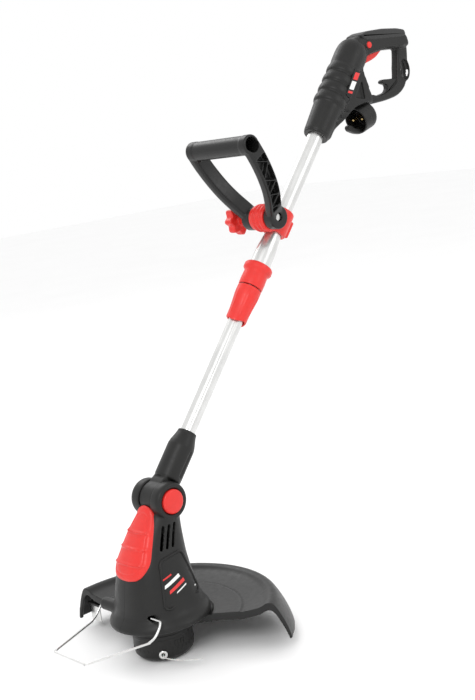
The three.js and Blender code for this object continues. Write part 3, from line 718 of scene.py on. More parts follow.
@dataclass(frozen=True)
class Winding:
    """Fine wire or line wound round the spool axis, as bands across it, with painted shade in the grooves
    between turns.
    """

    name: str
    slot: str
    colour: tuple[float, float, float]
    pitch_mm: float
    metallic: float = 0.0

    def material(self) -> bpy.types.Material:
        """Writes the node tree.

        Returns:
            The node material.
        """
        nodes = Nodes(self.name)
        inputs = {"Vector": nodes.place, "Scale": 1000.0 / self.pitch_mm / 6.28, "Distortion": 0.6}
        bands = nodes.add("ShaderNodeTexWave", inputs, bands_direction="Z").outputs["Fac"]
        nodes.dress(
            # painted shade: the colour falls to 0.6 of itself in the grooves between turns, where the
            # bump sinks
            Base_Color=nodes.tint(bands, shade(self.colour, 0.6), self.colour, 0.4),
            Metallic=self.metallic,
            Roughness=0.38,
            Normal=nodes.bump(bands, 0.3),
        )
        return nodes.material


BLACK = Moulding("black_moulding", "black_shell", (0.0105, 0.0105, 0.01), specular=0.32)
SMOOTH_BLACK = Moulding(
    "smooth_black_moulding", "black_shell", (0.009, 0.009, 0.0088), 0.33, 0.5, 0.012, specular=0.35
)
GUARD_BLACK = Moulding(
    "guard_moulding", "black_shell", (0.0115, 0.0115, 0.0112), 0.38, 0.9, 0.02, specular=0.34
)
BADGE_BLACK = Moulding(
    "badge_face", "black_shell", (0.008, 0.008, 0.008), 0.24, 0.4, 0.005, specular=0.35
)
DARK = Moulding("dark_moulding", "dark_plastic", (0.03, 0.03, 0.036), 0.5)
RED = Moulding(
    "red_moulding", "red_plastic", (0.70, 0.024, 0.018), 0.38, 0.8, 0.018, 0.06, 0.1, 0.03, 0.4
)
RED_MARK = Moulding("red_mark", "red_plastic", (0.7, 0.03, 0.03), 0.3, 0.8, 0.005, 0.05)
WHITE_MARK = Moulding("white_mark", "nylon", (0.82, 0.82, 0.8), 0.35, 0.8, 0.005, 0.04)
NYLON = Moulding("nylon", "nylon", (0.7, 0.68, 0.62), 0.45, 0.6, 0.01, 0.05, 0.0, 0.1)
LINE = Moulding("cutting_line", "cutting_nylon", (0.62, 0.62, 0.6), 0.3, 0.4, 0.01, 0.08, 0.1, 0.2)
GRIP = Rubber("soft_grip", "soft_grip", (0.014, 0.014, 0.014))
SILVER = Metal("silver_tube", "silver_tube", (0.74, 0.74, 0.73), 0.33, 90 - SHAFT_ANGLE, 0.008)
STEEL = Metal("plated_steel", "steel", (0.72, 0.72, 0.71), 0.26, 0.0, 0.01)
WIRE = Metal("guard_wire", "wire_steel", (0.78, 0.78, 0.77), 0.24, 90.0, 0.006)
CAN = Metal("motor_steel", "motor_steel", (0.62, 0.62, 0.6), 0.34, 0.0, 0.02)
BRASS = Metal("brass", "brass", (0.78, 0.57, 0.25), 0.28, 60.0, 0.01)
COPPER = Winding("copper_winding", "copper_rotor", (0.72, 0.32, 0.16), 0.7, 1.0)
WOUND = Winding("wound_line", "cutting_nylon", (0.66, 0.66, 0.63), 1.6)

Finish = Moulding | Rubber | Metal | Winding
_materials: dict[str, bpy.types.Material] = {}


def material_of(finish: Finish) -> bpy.types.Material:
    """The finish's material, made once.

    Args:
        finish: a finish.
    Returns:
        Its material.
    """
    if finish.name not in _materials:
        _materials[finish.name] = finish.material()
    return _materials[finish.name]


def show(
    name: str,
    shape: Solid | bpy.types.Mesh,
    finish: Finish,
    body: Body,
    replaces: tuple[str, ...] = (),
    sharp: float = 40.0,
) -> bpy.types.Object:
    """Puts one piece in the scene, on its body's empty, and hides the CAD nodes that it stands for.

    Args:
        name: the piece's name.
        shape: a solid, or a mesh already in metres.
        finish: what it is made of.
        body: what it rides on.
        replaces: the CAD nodes that it stands for.
        sharp: edges over this many degrees stay crisp.
    Returns:
        The new object.
    """
    mesh = shape.mesh(name) if isinstance(shape, Solid) else shape
    mesh.name = name
    mesh.materials.clear()
    mesh.materials.append(material_of(finish))
    mesh.shade_smooth()
    mesh.set_sharp_from_angle(angle=float(np.radians(sharp)))
    piece = bpy.data.objects.new(name, mesh)
    bpy.context.scene.collection.objects.link(piece)
    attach(piece, body.value)
    if replaces:
        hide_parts(*replaces)
    LOG.info("%s: %d faces on %s", name, len(mesh.polygons), body.value)
    return piece


def show_halves(name: str, mesh: bpy.types.Mesh, finish: Finish, body: Body) -> None:
    """Parts a moulding down the middle into the two shells that replace the CAD ones.

    Args:
        name: the name that both shells' names start with.
        mesh: the whole moulding.
        finish: what it is made of.
        body: what it rides on.
    """
    for side, word in ((-1, "left"), (1, "right")):
        part = clipped(mesh.copy(), half_space(side), "INTERSECT")
        show(f"{name}_{word}_shell", part, finish, body, (f"{name}_{word}",), 32.0)


# ---- camera, light and floor ----


@dataclass
class Studio:
    """A pale floor under soft light, and the camera."""

    lens_mm: float = 61.5
    eye: tuple[float, float, float] = (-0.92269, -1.31532, 0.70579)
    right: tuple[float, float, float] = (0.73243, -0.66637, -0.13962)
    up: tuple[float, float, float] = (0.22303, 0.04108, 0.97395)
    forward: tuple[float, float, float] = (0.64327, 0.74449, -0.17871)
    # place, aim, size in metres and watts of each soft box
    boxes: tuple = (
        ((-1.9, -1.6, 2.2), (0.2, 0.0, 0.4), 1.2, 26.0),
        ((1.3, -2.2, 1.6), (0.3, 0.0, 0.4), 1.0, 7.0),
        ((0.6, 2.0, 2.4), (0.3, 0.0, 0.4), 1.4, 16.0),
    )
    floor_reach: float = 9000.0
    floor_depth: float = 0.2
    surround: float = 1.0

    def camera(self) -> None:
        """Sets the camera from its three axes and its place."""
        data = bpy.data.cameras.new("camera")
        data.lens = self.lens_mm
        data.sensor_width = 36.0
        camera = bpy.data.objects.new("camera", data)
        axes = Matrix((self.right, self.up, [-part for part in self.forward])).transposed()
        camera.matrix_world = Matrix.Translation(self.eye) @ axes.to_4x4()
        bpy.context.scene.collection.objects.link(camera)
        bpy.context.scene.camera = camera

    def light(self) -> None:
        """Area lights and a nearly white surround."""
        for i, (place, aim, size, watts) in enumerate(self.boxes):
            data = bpy.data.lights.new(f"soft_box_{i}", "AREA")
            data.energy, data.size = watts, size
            lamp = bpy.data.objects.new(data.name, data)
            lamp.location = place
            lamp.rotation_euler = (Vector(aim) - Vector(place)).to_track_quat("-Z", "Y").to_euler()
            bpy.context.scene.collection.objects.link(lamp)
        world = bpy.data.worlds.new("surround")
        world.use_nodes = True
        background = world.node_tree.nodes["Background"]
        background.inputs["Color"].default_value = (1.0, 1.0, 1.0, 1.0)
        background.inputs["Strength"].default_value = self.surround
        bpy.context.scene.world = world
        bpy.context.scene.view_settings.view_transform = "Standard"

    def floor(self) -> None:
        """A wide pale sheet under the spool's foot."""
        reach, depth = self.floor_reach, self.floor_depth
        around = ((-reach, -reach), (reach, -reach), (reach, reach), (-reach, reach))
        corners = np.array([(x, y, -depth) for x, y in around])
        sheet = Solid(corners, [np.array([[0, 1, 2, 3]])]).mesh("floor")
        nodes = Nodes("pale_floor")
        paper = nodes.noise(3.0, 3.0)
        nodes.dress(
            Base_Color=nodes.tint(paper, (0.955, 0.955, 0.955), (0.97, 0.97, 0.97)),
            Roughness=nodes.ranged(paper, 0.75, 0.85),
        )
        sheet.materials.append(nodes.material)
        floor = bpy.data.objects.new("floor", sheet)
        bpy.context.scene.collection.objects.link(floor)


# ---- spool ----


@dataclass
class Spool:
    """The turning spool, its eyelets and the two tails of cutting line."""

    radius: float = 43.0
    line_height: float = 14.0
    line_radius: float = 0.8
    eyelet_angle: float = 230.0
    tail: tuple = ((40, 0), (50, -1), (59, -8), (66, -22), (70, -38), (72, -54))
    marks: tuple = (256.0, 262.5, 269.0, 275.5)
    ribs: int = 36
    clear_of_eyelet: float = 12.0
    cup: tuple = (
        (13.2, 2.4), (17, 2.3), (30, 0.8), (37, 3), (41.5, 8), (42.6, 15), (42.6, 34), (43.4, 34.6),
        (43.4, 40), (40.8, 40), (40.8, 12), (36, 5.6), (13.2, 5.4),
    )
    eyelet: tuple = (
        (2.0, 38), (4.2, 38), (4.2, 43.2), (6.0, 43.4), (6.2, 44.4), (4.8, 45.3), (3.0, 45.1),
        (2.1, 44.0),
    )
    foot: tuple = (
        (0, 0), (4, 0), (4.4, 0.5), (5.4, 0.5), (5.8, 0), (8.6, 0), (11.9, 2.2), (11.9, 5.9),
        (5.7, 6.4), (5.7, 12.8), (0, 12.8),
    )

    def lines(self) -> None:
        """Each tail leaves its eyelet straight and trails round behind it, rising a little."""
        route = np.array([(out, -back, self.line_height + 0.03 * back) for out, back in self.tail])
        smooth = through(route, 6, closed=False)
        for word, turn in (("left", 0.0), ("right", 180.0)):
            points = about_z(self.eyelet_angle + turn).world(smooth)
            tail = swept(points, circle(self.line_radius, 12), (0, 0, 1))
            piece = show(f"line_tail_{word}", tail, LINE, Body.SPOOL, (f"cutting_line_{word}",), 60.0)

    def cap(self) -> None:
        """The cup that holds the reel, with a banded rim and a row of raised bars."""
        parts = [ring(self.cup, 1.4, 144)]
        for angle in self.marks:
            bar = block((-0.2, 1.1), (-1.1, 1.1), (22.5, 30.0), 0.4)
            parts.append(bar.on(about_z(angle, self.radius - 0.8)))
        for angle in np.arange(self.ribs) * 360.0 / self.ribs:
            away = min(abs(angle - self.eyelet_angle), abs(angle + 180 - self.eyelet_angle))
            if away > self.clear_of_eyelet:
                rib = block((-0.6, 0.7), (-0.7, 0.7), (16.5, 20.5), 0.3)
                parts.append(rib.on(about_z(angle, self.radius - 0.6)))
        show("spool_cup", together(parts), BLACK, Body.SPOOL, ("spool_cap",))

    def eyelets(self) -> None:
        """Pressed eyelets: a tube with a rolled flange."""
        for word, turn in (("left", 0.0), ("right", 180.0)):
            round_axis = about_z(self.eyelet_angle + turn, 0.0, self.line_height)
            outward, sideways, upward = round_axis.rows
            rolled = ring(self.eyelet, 0.7, 40).on(Axes(round_axis.origin, (sideways, upward, outward)))
            show(f"eyelet_{word}", rolled, STEEL, Body.SPOOL, (f"line_eyelet_{word}",))

    def knob(self) -> None:
        """The tap-to-feed foot, with a shallow ring in its face."""
        show("feed_foot", soft_turned(self.foot, 0.6, 72), BLACK, Body.BUMP, ("bump_knob",))

    def build(self) -> None:
        """All the spool's pieces."""
        self.lines()
        self.cap()
        self.eyelets()
        self.knob()
        coil_spring = coil(8.0, 0.7, 14.2, 27.8, 3)
        show("feed_spring", coil_spring, STEEL, Body.SPOOL, ("reel_spring",))


# ---- motor head ----


@dataclass
class MotorHead:
    """The tilting housing, its red cover, vents, side panels and tilt joint."""

    # height, middle in X, half length, half width and squareness of the skin
    rows: tuple = (
        (54, 2, 70.4, 70.4, 2.0),
        (56, 2, 72, 72, 2.0),
        (60, 2, 72, 71.6, 2.0),
        (65, 3, 69.4, 68, 2.1),
        (73, 3, 63, 61, 2.25),
        (90, 1, 57, 55, 2.4),
        (112, 1, 52, 50, 2.5),
        (138, 3, 47, 44, 2.5),
        (160, 9, 41, 38, 2.5),
        (180, 16, 35, 33.5, 2.4),
        (196, 23, 29, 31, 2.3),
        (204, 26, 26, 30, 2.2),
    )
    wall: float = 2.8
    cheek_radius: float = 27.0
    cheek_in: float = 14.0
    cheek_out: float = 32.0
    wire_x: float = -44.0
    wire_z: float = 76.0
    cover_middle: float = 168.0
    cover_outline: tuple = (
        (0, 216), (13, 211.5), (19, 201), (25, 186), (31, 162), (34, 143), (27, 129), (12, 124.5),
        (-12, 124.5), (-27, 129), (-34, 143), (-31, 162), (-25, 186), (-19, 201), (-13, 211.5),
    )
    cover_ribs: tuple = (147.0, 166.0, 185.0)
    panel: tuple = ((-15, 147), (25, 151.5), (44, 88), (-27, 82))
    # X of each side vent's two ends, at its top and at its foot
    side_vents: tuple = ((8.5, -6.0), (18.0, 3.5), (27.5, 13.5))
    vent_middle: float = 173.5
    vent_rise: float = 30.0
    back_vents: int = 6
    latch_turns: tuple = (300.0, 308.0, 316.0)
    stripes: tuple = (
        (RED_MARK, ((-19, 121), (-3, 125), (-3.6, 127), (-18.4, 123))),
        (WHITE_MARK, ((-19, 110), (10, 119), (8.4, 123.5), (-17.6, 114.5))),
        (RED_MARK, ((-14, 101.5), (16, 111), (14.4, 115.5), (-12.6, 106))),
        (WHITE_MARK, ((-3, 99), (17, 105.2), (16.6, 107), (-2.2, 100.8))),
    )
    stud_at: tuple = (35.0, 96.0)
    button: tuple = (
        (0, -35.6), (9, -35.4), (15.2, -34.8), (17.4, -33.2), (17.4, -26), (8, -26), (8, -24), (0, -24),
    )
    dense: Array = field(init=False)

    def __post_init__(self) -> None:
        """Fills in the rows between the skin's given heights."""
        self.dense = through(self.rows, 8, closed=False)

    def skin_at(self, z: Array) -> list[Array]:
        """Middle, half length, half width and squareness of the skin at each height z."""
        return [np.interp(z, self.dense[:, 0], self.dense[:, i]) for i in range(1, 5)]

    def shell(self, grow: float, rows: Array) -> Solid:
        """The skin as a solid: x = c + a |cos|^(2/p), y = w |sin|^(2/p) with their signs.

        Args:
            grow: how far it is moved outwards.
            rows: height, middle, half length, half width and squareness.
        Returns:
            The solid.
        """
        t = np.linspace(0, 2 * np.pi, 160, endpoint=False)[None, :]
        z, cx, a, w, p = (rows[:, i : i + 1] for i in range(5))
        x = cx + (a + grow) * np.sign(np.cos(t)) * np.abs(np.cos(t)) ** (2 / p)
        y = (w + grow) * np.sign(np.sin(t)) * np.abs(np.sin(t)) ** (2 / p)
        return skin(np.stack([x, y, z + 0 * t], -1))

    def side(self, x: Array, z: Array, grow: float, sign: float) -> Array:
        """Points on one side of the skin.

        Args:
            x: their x.
            z: their z.
            grow: how far the skin is moved outwards.
            sign: -1 for the left side, 1 for the right.
        Returns:
            The points, on the last axis.
        """
        cx, a, w, p = self.skin_at(z)
        share = np.clip(np.abs((x - cx) / (a + grow)), 0, 0.995)
        y = sign * (w + grow) * (1 - share**p) ** (1 / p)
        return np.stack([x, y, z], -1)

    def cheek(self, sign: float) -> Solid:
        """One end of the tilt joint: a round boss with a domed rim and a recess.

        Args:
            sign: -1 for the left cheek, 1 for the right.
        Returns:
            The boss, a little way into the housing.
        """
        low, out, r = self.cheek_in - 4, self.cheek_out, self.cheek_radius
        profile = [(0, low), (r - 1, low), (r, 18), (r, out - 5), (r - 2.6, out)]
        profile += [(20, out), (19, out - 1.2), (0, out - 1.2)]
        profile = [(a, sign * b) for a, b in profile]
        return soft_turned(profile, 3.0, 96).on(across(PIVOT[0], PIVOT[2]))

    def vents(self) -> list[Solid]:
        """The cutters of the slanting side vents and of the blind slots in the back.

        Returns:
            Two cutters, the sides' and the back's.
        """
        sides = []
        slot = eased([(-2, -17), (2, -17), (2, 17), (-2, 17)], 1.9, 5)
        for top, low in self.side_vents:
            lean = float(np.degrees(np.arctan2(top - low, self.vent_rise)))
            place = leaning(lean, ((top + low) / 2, 0, self.vent_middle))
            sides += [plate(slot, a, a + 40, 0.3, 2).on(place) for a in (20, -60)]
        heights = 139.0 + 8.2 * np.arange(self.back_vents)
        back = [block((46.8, 90.0), (-11.5, 11.5), (z, z + 3.6), 0.4) for z in heights]
        return [together(sides), together(back)]

    def housing(self) -> None:
        """The two black shells, hollow, with vents, wire bosses and the knuckle slot."""
        boss = soft_turned([(0, 20), (9, 20), (9, 66), (0, 66)], 1.0, 48)
        lower_ring = ring([(44.2, 41), (46.4, 41), (46.8, 56), (44.2, 56)], 0.5, 128)
        core = together(
            [
                self.shell(0.0, self.dense),
                self.cheek(-1),
                self.cheek(1),
                boss.on(across(self.wire_x, self.wire_z)),
            ]
        )
        hollow = self.dense[(self.dense[:, 0] > 62) & (self.dense[:, 0] < 178)]
        pivot = across(PIVOT[0], PIVOT[2])
        hole = [(0, -80), (12.5, -80), (10.5, -54), (3.2, -41), (2.6, 80), (0, 80)]
        cuts = [
            *self.vents(),
            soft_turned(hole, 1, 48).on(across(self.wire_x, self.wire_z)),
            self.shell(-self.wall, hollow),
            turned([(0, -14), (25.5, -14), (25.5, 14), (0, 14)], 96).on(pivot),
            block((-24, 84), (-14, 14), (PIVOT[2] + 1, 262), 0.3),
            block((PIVOT[0], 84), (-13.8, 13.8), (198, PIVOT[2] + 3), 0.3),
            turned([(0, -40), (18.3, -40), (18.3, -19), (0, -19)], 72).on(pivot),
            turned([(0, 40), (66, 40), (66, 55.4), (44, 55.4), (12.4, 55.4), (12.4, 66), (0, 66)], 72),
        ]
        extra = [lower_ring, block((43.6, 46.4), (-14.0, 14.0), (134.0, 188.0), 0.5)]
        for turn in self.latch_turns:
            extra.append(block((42.5, 49.0), (-1.2, 1.2), (40.6, 55.0), 0.5).on(about_z(turn)))
        mesh = moulded(core, cuts, together(extra), 1.15, 3)
        show_halves("motor_housing", mesh, BLACK, Body.HEAD)

    def side_trim(self) -> None:
        """A raised border round each side panel, with plain stripes inside it and one small screw."""
        border = eased(self.panel, 9.0, 8)
        for sign, word in ((-1.0, "left"), (1.0, "right")):
            path = self.side(border[:, 0], border[:, 1], 0.2, sign)
            closed = np.vstack([path, path[:1]])
            bead = swept(closed, circle(1.9, 14), (0.05, sign, 0.0))
            show(f"panel_border_{word}", bead, BLACK, Body.HEAD)
            for k, (finish, corners) in enumerate(self.stripes):
                show(f"panel_stripe_{word}_{k + 1}", self.decal(corners, sign), finish, Body.HEAD)
            seat = self.side(*np.array(self.stud_at)[:, None], 0.0, sign)[0]
            stud = soft_turned([(0, -2), (1.7, -2), (1.7, 0.5), (0, 0.9)], 0.4, 24)
            axes = Axes(tuple(seat), ((1, 0, 0), (0, 0, -sign), (0, sign, 0)))
            show(f"panel_stud_{word}", stud.on(axes), STEEL, Body.HEAD)

    def decal(self, corners: tuple, sign: float) -> Solid:
        """A thin raised patch that follows the skin.

        Args:
            corners: x and z of its four corners.
            sign: -1 for the left side, 1 for the right.
        Returns:
            The patch.
        """
        s, t = np.meshgrid(np.linspace(0, 1, 14), np.linspace(0, 1, 5), indexing="ij")
        a, b, c, d = (np.array(corner, float) for corner in corners)
        flat = (1 - t)[..., None] * ((1 - s)[..., None] * a + s[..., None] * b)
        flat = flat + t[..., None] * ((1 - s)[..., None] * d + s[..., None] * c)
        top = self.side(flat[..., 0], flat[..., 1], 0.35, sign)
        low = self.side(flat[..., 0], flat[..., 1], -0.6, sign)
        rings = np.concatenate([low, top[:, ::-1]], 1)
        return skin(rings, Ends.FLAT)

    def front_cover(self) -> None:
        """The red cover: a patch of the skin raised by a rounded rim, three ribs and a fine groove.

        On rings f from 0 at the middle to 1 at the edge the rise is 2.8 sqrt(1 - e^2) with e
        running from 0 to 1 over the last tenth, less the groove, plus the ribs.
        """
        edge = through(self.cover_outline, 10)
        near_edge = 0.86 + 0.14 * np.sin(np.linspace(0.1, np.pi / 2, 14))
        f = np.concatenate([np.linspace(0.01, 0.86, 40), near_edge])
        middle = np.array([0.0, self.cover_middle])
        flat = middle + f[:, None, None] * (edge - middle)[None]
        y, z = flat[..., 0], flat[..., 1]
        fade = np.clip((f[:, None] - 0.88) / 0.12, 0, 1)
        groove = 0.7 * np.exp(-(((f[:, None] - 0.8) / 0.022) ** 2))
        rise = 2.8 * np.sqrt(np.maximum(1 - fade**2, 0)) - groove
        for height in self.cover_ribs:
            arch = height - 0.0022 * y**2
            rise = rise + 2.1 * np.exp(-(((z - arch) / 1.25) ** 2)) * (1 - fade**2)
            rise = rise - 0.5 * np.exp(-(((z - arch + 3.4) / 0.8) ** 2)) * (f[:, None] < 0.8)
        outer = np.stack([self.front_x(y, z, rise), y, z], -1)
        inner = np.stack([self.front_x(y, z, -1.0 + 0 * y), y, z], -1)
        cover = skin(np.concatenate([inner, outer[::-1]]), Ends.FAN)
        show("nose_cover", cover, RED, Body.HEAD, ("front_cover",), 60.0)

    def front_x(self, y: Array, z: Array, grow: Array) -> Array:
        """X of the skin's front, leaning back above the skin's top.

        Args:
            y: where across.
            z: the height.
            grow: how far the skin is moved outwards.
        Returns:
            X at each place.
        """
        cx, a, w, p = self.skin_at(z)
        above = np.maximum(z - 204.0, 0.0)
        share = np.clip(np.abs(y) / (w + grow), 0, 0.985)
        return cx + 0.32 * above - (a + grow) * (1 - share**p) ** (1 / p)

    def tilt_joint(self) -> None:
        """The red release button with a slightly domed face."""
        button = soft_turned(self.button, 1.6, 96).on(across(PIVOT[0], PIVOT[2]))
        show("release_button", button, RED, Body.TILT, ("tilt_button",))
        washer = soft_turned([(0, 30.5), (12.5, 30.5), (12.5, 31.8), (0, 32.4)], 0.5, 64)
        show("far_cheek_cap", washer.on(across(PIVOT[0], PIVOT[2])), SMOOTH_BLACK, Body.HEAD)

    def build(self) -> None:
        """All the head's visible pieces."""
        self.housing()
        self.side_trim()
        self.front_cover()
        self.tilt_joint()


# ---- guard ----


@dataclass
class Guard:
    """The cutting guard behind the spool, its line cutter, and the wire guard in front."""

    start: float = -57.0
    end: float = 95.0
    top: tuple = (
        (46.5, 52), (60, 52.8), (76, 53.5), (79, 54.6), (116, 56.2), (119, 55.2), (146, 61), (157, 66.6),
        (164, 67), (170, 62), (178, 47), (184, 32), (188, 17),
    )
    thick: float = 2.6
    knife_angle: float = 88.0
    web_angles: tuple = (-30.0, -5.0, 20.0, 45.0, 70.0)
    screws: tuple = ((60, -12), (60, 12), (52, 34))
    wire_run: tuple = (
        (-44, -42, 76), (-44, -62, 76), (-49, -65, 70), (-58, -65, 60), (-68, -63.5, 55), (-150, -39, 54),
        (-155, -34, 54), (-155, 34, 54), (-150, 39, 54), (-68, 71.5, 55), (-58, 73, 60), (-49, 73, 70),
        (-44, 70, 76), (-44, 42, 76),
    )

    def section(self) -> Array:
        """The guard's section, outside first and back inside.

        Returns:
            Rows of radius and height.
        """
        outer = through(self.top, 5, closed=False)
        way = np.gradient(outer, axis=0)
        way /= np.linalg.norm(way, axis=1)[:, None]
        inner = outer + self.thick * np.stack([way[:, 1], -way[:, 0]], 1)
        inner[-1, 1] = outer[-1, 1]
        return np.vstack([outer, inner[::-1]])

    def arc(self, section: Array, start: float, end: float, steps: int) -> Solid:
        """A section swept round the spool axis: (r cos a, r sin a, z).

        Args:
            section: rows of radius and height.
            start: first angle, in degrees.
            end: last angle.
            steps: how many rings.
        Returns:
            The solid.
        """
        a = np.radians(np.linspace(start, end, steps))[:, None]
        r, z = section[:, 0][None, :], section[:, 1][None, :]
        return skin(np.stack([r * np.cos(a), r * np.sin(a), z + 0 * a], -1), Ends.FLAT)

    def lip(self, start: float, end: float) -> Solid:
        """A stiffening wall across one end, hanging from the guard's underside.

        Args:
            start: first angle, in degrees.
            end: last angle.
        Returns:
            The wall.
        """
        outer = through(self.top, 5, closed=False)[4:]
        low = np.stack([outer[:, 0] - 1.5, np.maximum(outer[:, 1] - 11, 15)], 1)
        high = outer - np.array([0.2, 0.4])
        return self.arc(np.vstack([high, low[::-1]]), start, end, 3)

    def build(self) -> None:
        """The sheet, its lips, under-ribs and screws, the cutter and the wire."""
        parts = [
            self.arc(self.section(), self.start, self.end, 150),
            self.lip(self.start, self.start + 1.6),
            self.lip(self.end - 1.6, self.end),
        ]
        outer = through(self.top, 5, closed=False)[10:-8]
        web = np.vstack([outer - np.array([0, 1.4]), (outer - np.array([0, 5.5]))[::-1]])
        parts += [self.arc(web, angle - 0.5, angle + 0.5, 3) for angle in self.web_angles]
        mesh = moulded(together(parts), pitch=1.0, rounds=2)
        show("guard_sheet", mesh, GUARD_BLACK, Body.HEAD, ("guard",), 50.0)
        for k, (x, y) in enumerate(self.screws):
            head = screw_head(3.6, 2.0).on(Axes((x, y, 50.2), DOWNWARD))
            show(f"guard_screw_{k + 1}", head, STEEL, Body.HEAD)
        self.cutter()
        self.wire()

    def cutter(self) -> None:
        """The knife that trims the line, screwed under a ribbed cover."""
        place = about_z(self.knife_angle)
        cover = [
            block((143, 174), (-15, 12), (37, 41), 0.9),
            block((145, 172), (-15, -11), (30, 41), 0.9),
            block((159, 162.6), (-10, 8), (40.5, 63.3), 0.7),
            block((146, 149), (-10, 8), (40.5, 50), 0.7),
            block((168, 171), (-10, 8), (40.5, 47), 0.7),
        ]
        mesh = moulded(together(cover), pitch=0.6, rounds=2)
        show("knife_cover", mesh_on(mesh, place), BLACK, Body.HEAD, ("blade_cover",))
        flat = block((146, 171), (-10, 9.5), (35.2, 36.6), 0.25)
        edge = block((146, 171), (8.1, 9.5), (12, 36.6), 0.25)
        show("knife", (flat + edge).on(place), STEEL, Body.HEAD, ("line_cutter_blade",))
        head = screw_head(3.6, 2.4).on(Axes((152, 3, 35), DOWNWARD))
        stem = turned([(0, 34), (1.9, 34), (1.9, 40.4), (0, 40.4)], 24).on(Axes((152, 3, 0)))
        show("knife_screw", (head + stem).on(place), STEEL, Body.HEAD, ("blade_screw",))

    def wire(self) -> None:
        """One bent wire whose ends spring into the housing's bosses."""
        path = through(eased(self.wire_run, 7.0, 6, closed=False), 2, closed=False)
        keep = np.concatenate([[True], np.linalg.norm(np.diff(path, axis=0), axis=1) > 0.05])
        wire = swept(path[keep], circle(1.7, 16), (0.02, 0.01, 1))
        show("spacing_wire", wire, WIRE, Body.WIRE, ("wire_guard",), 60.0)


def mesh_on(mesh: bpy.types.Mesh, axes: Axes) -> bpy.types.Mesh:
    """Moves a mesh from a local frame into the trimmer's frame.

    Args:
        mesh: a mesh in metres.
        axes: the local frame.
    Returns:
        The same mesh.
    """
    points = np.empty(3 * len(mesh.vertices))
    mesh.vertices.foreach_get("co", points)
    mesh.vertices.foreach_set("co", (axes.world(points.reshape(-1, 3) / MM) * MM).ravel())
    mesh.update()
    return mesh


def screw_head(radius: float, height: float) -> Solid:
    """A pan head on Z = 0 with a cross recess, as deep as exp(-(d / 0.55)^4) along two bars.

    Args:
        radius: the head's radius.
        height: its height.
    Returns:
        The head.
    """

    def cross(t: Array, r: Array, h: Array) -> tuple[Array, Array]:
        """Sinks the head's top near either bar of the cross.

        Args:
            t: the angle.
            r: the radius.
            h: the height.
        Returns:
            The new radius and height.
        """
        near = np.minimum(np.abs(r * np.cos(t)), np.abs(r * np.sin(t)))
        cut = 1.1 * np.exp(-((near / 0.55) ** 4)) * (r < 0.62 * radius) * (h > 0.5 * height)
        return r, h - cut

    f = np.linspace(0, 1, 16)
    dome = np.stack([radius * f, height * (1 - 0.45 * f**4)], 1)
    profile = np.vstack([dome, [(radius, 0.3), (radius * 0.95, 0), (0, 0)]])
    return turned(profile, 64, cross)


# ---- neck, tubes and collars ----


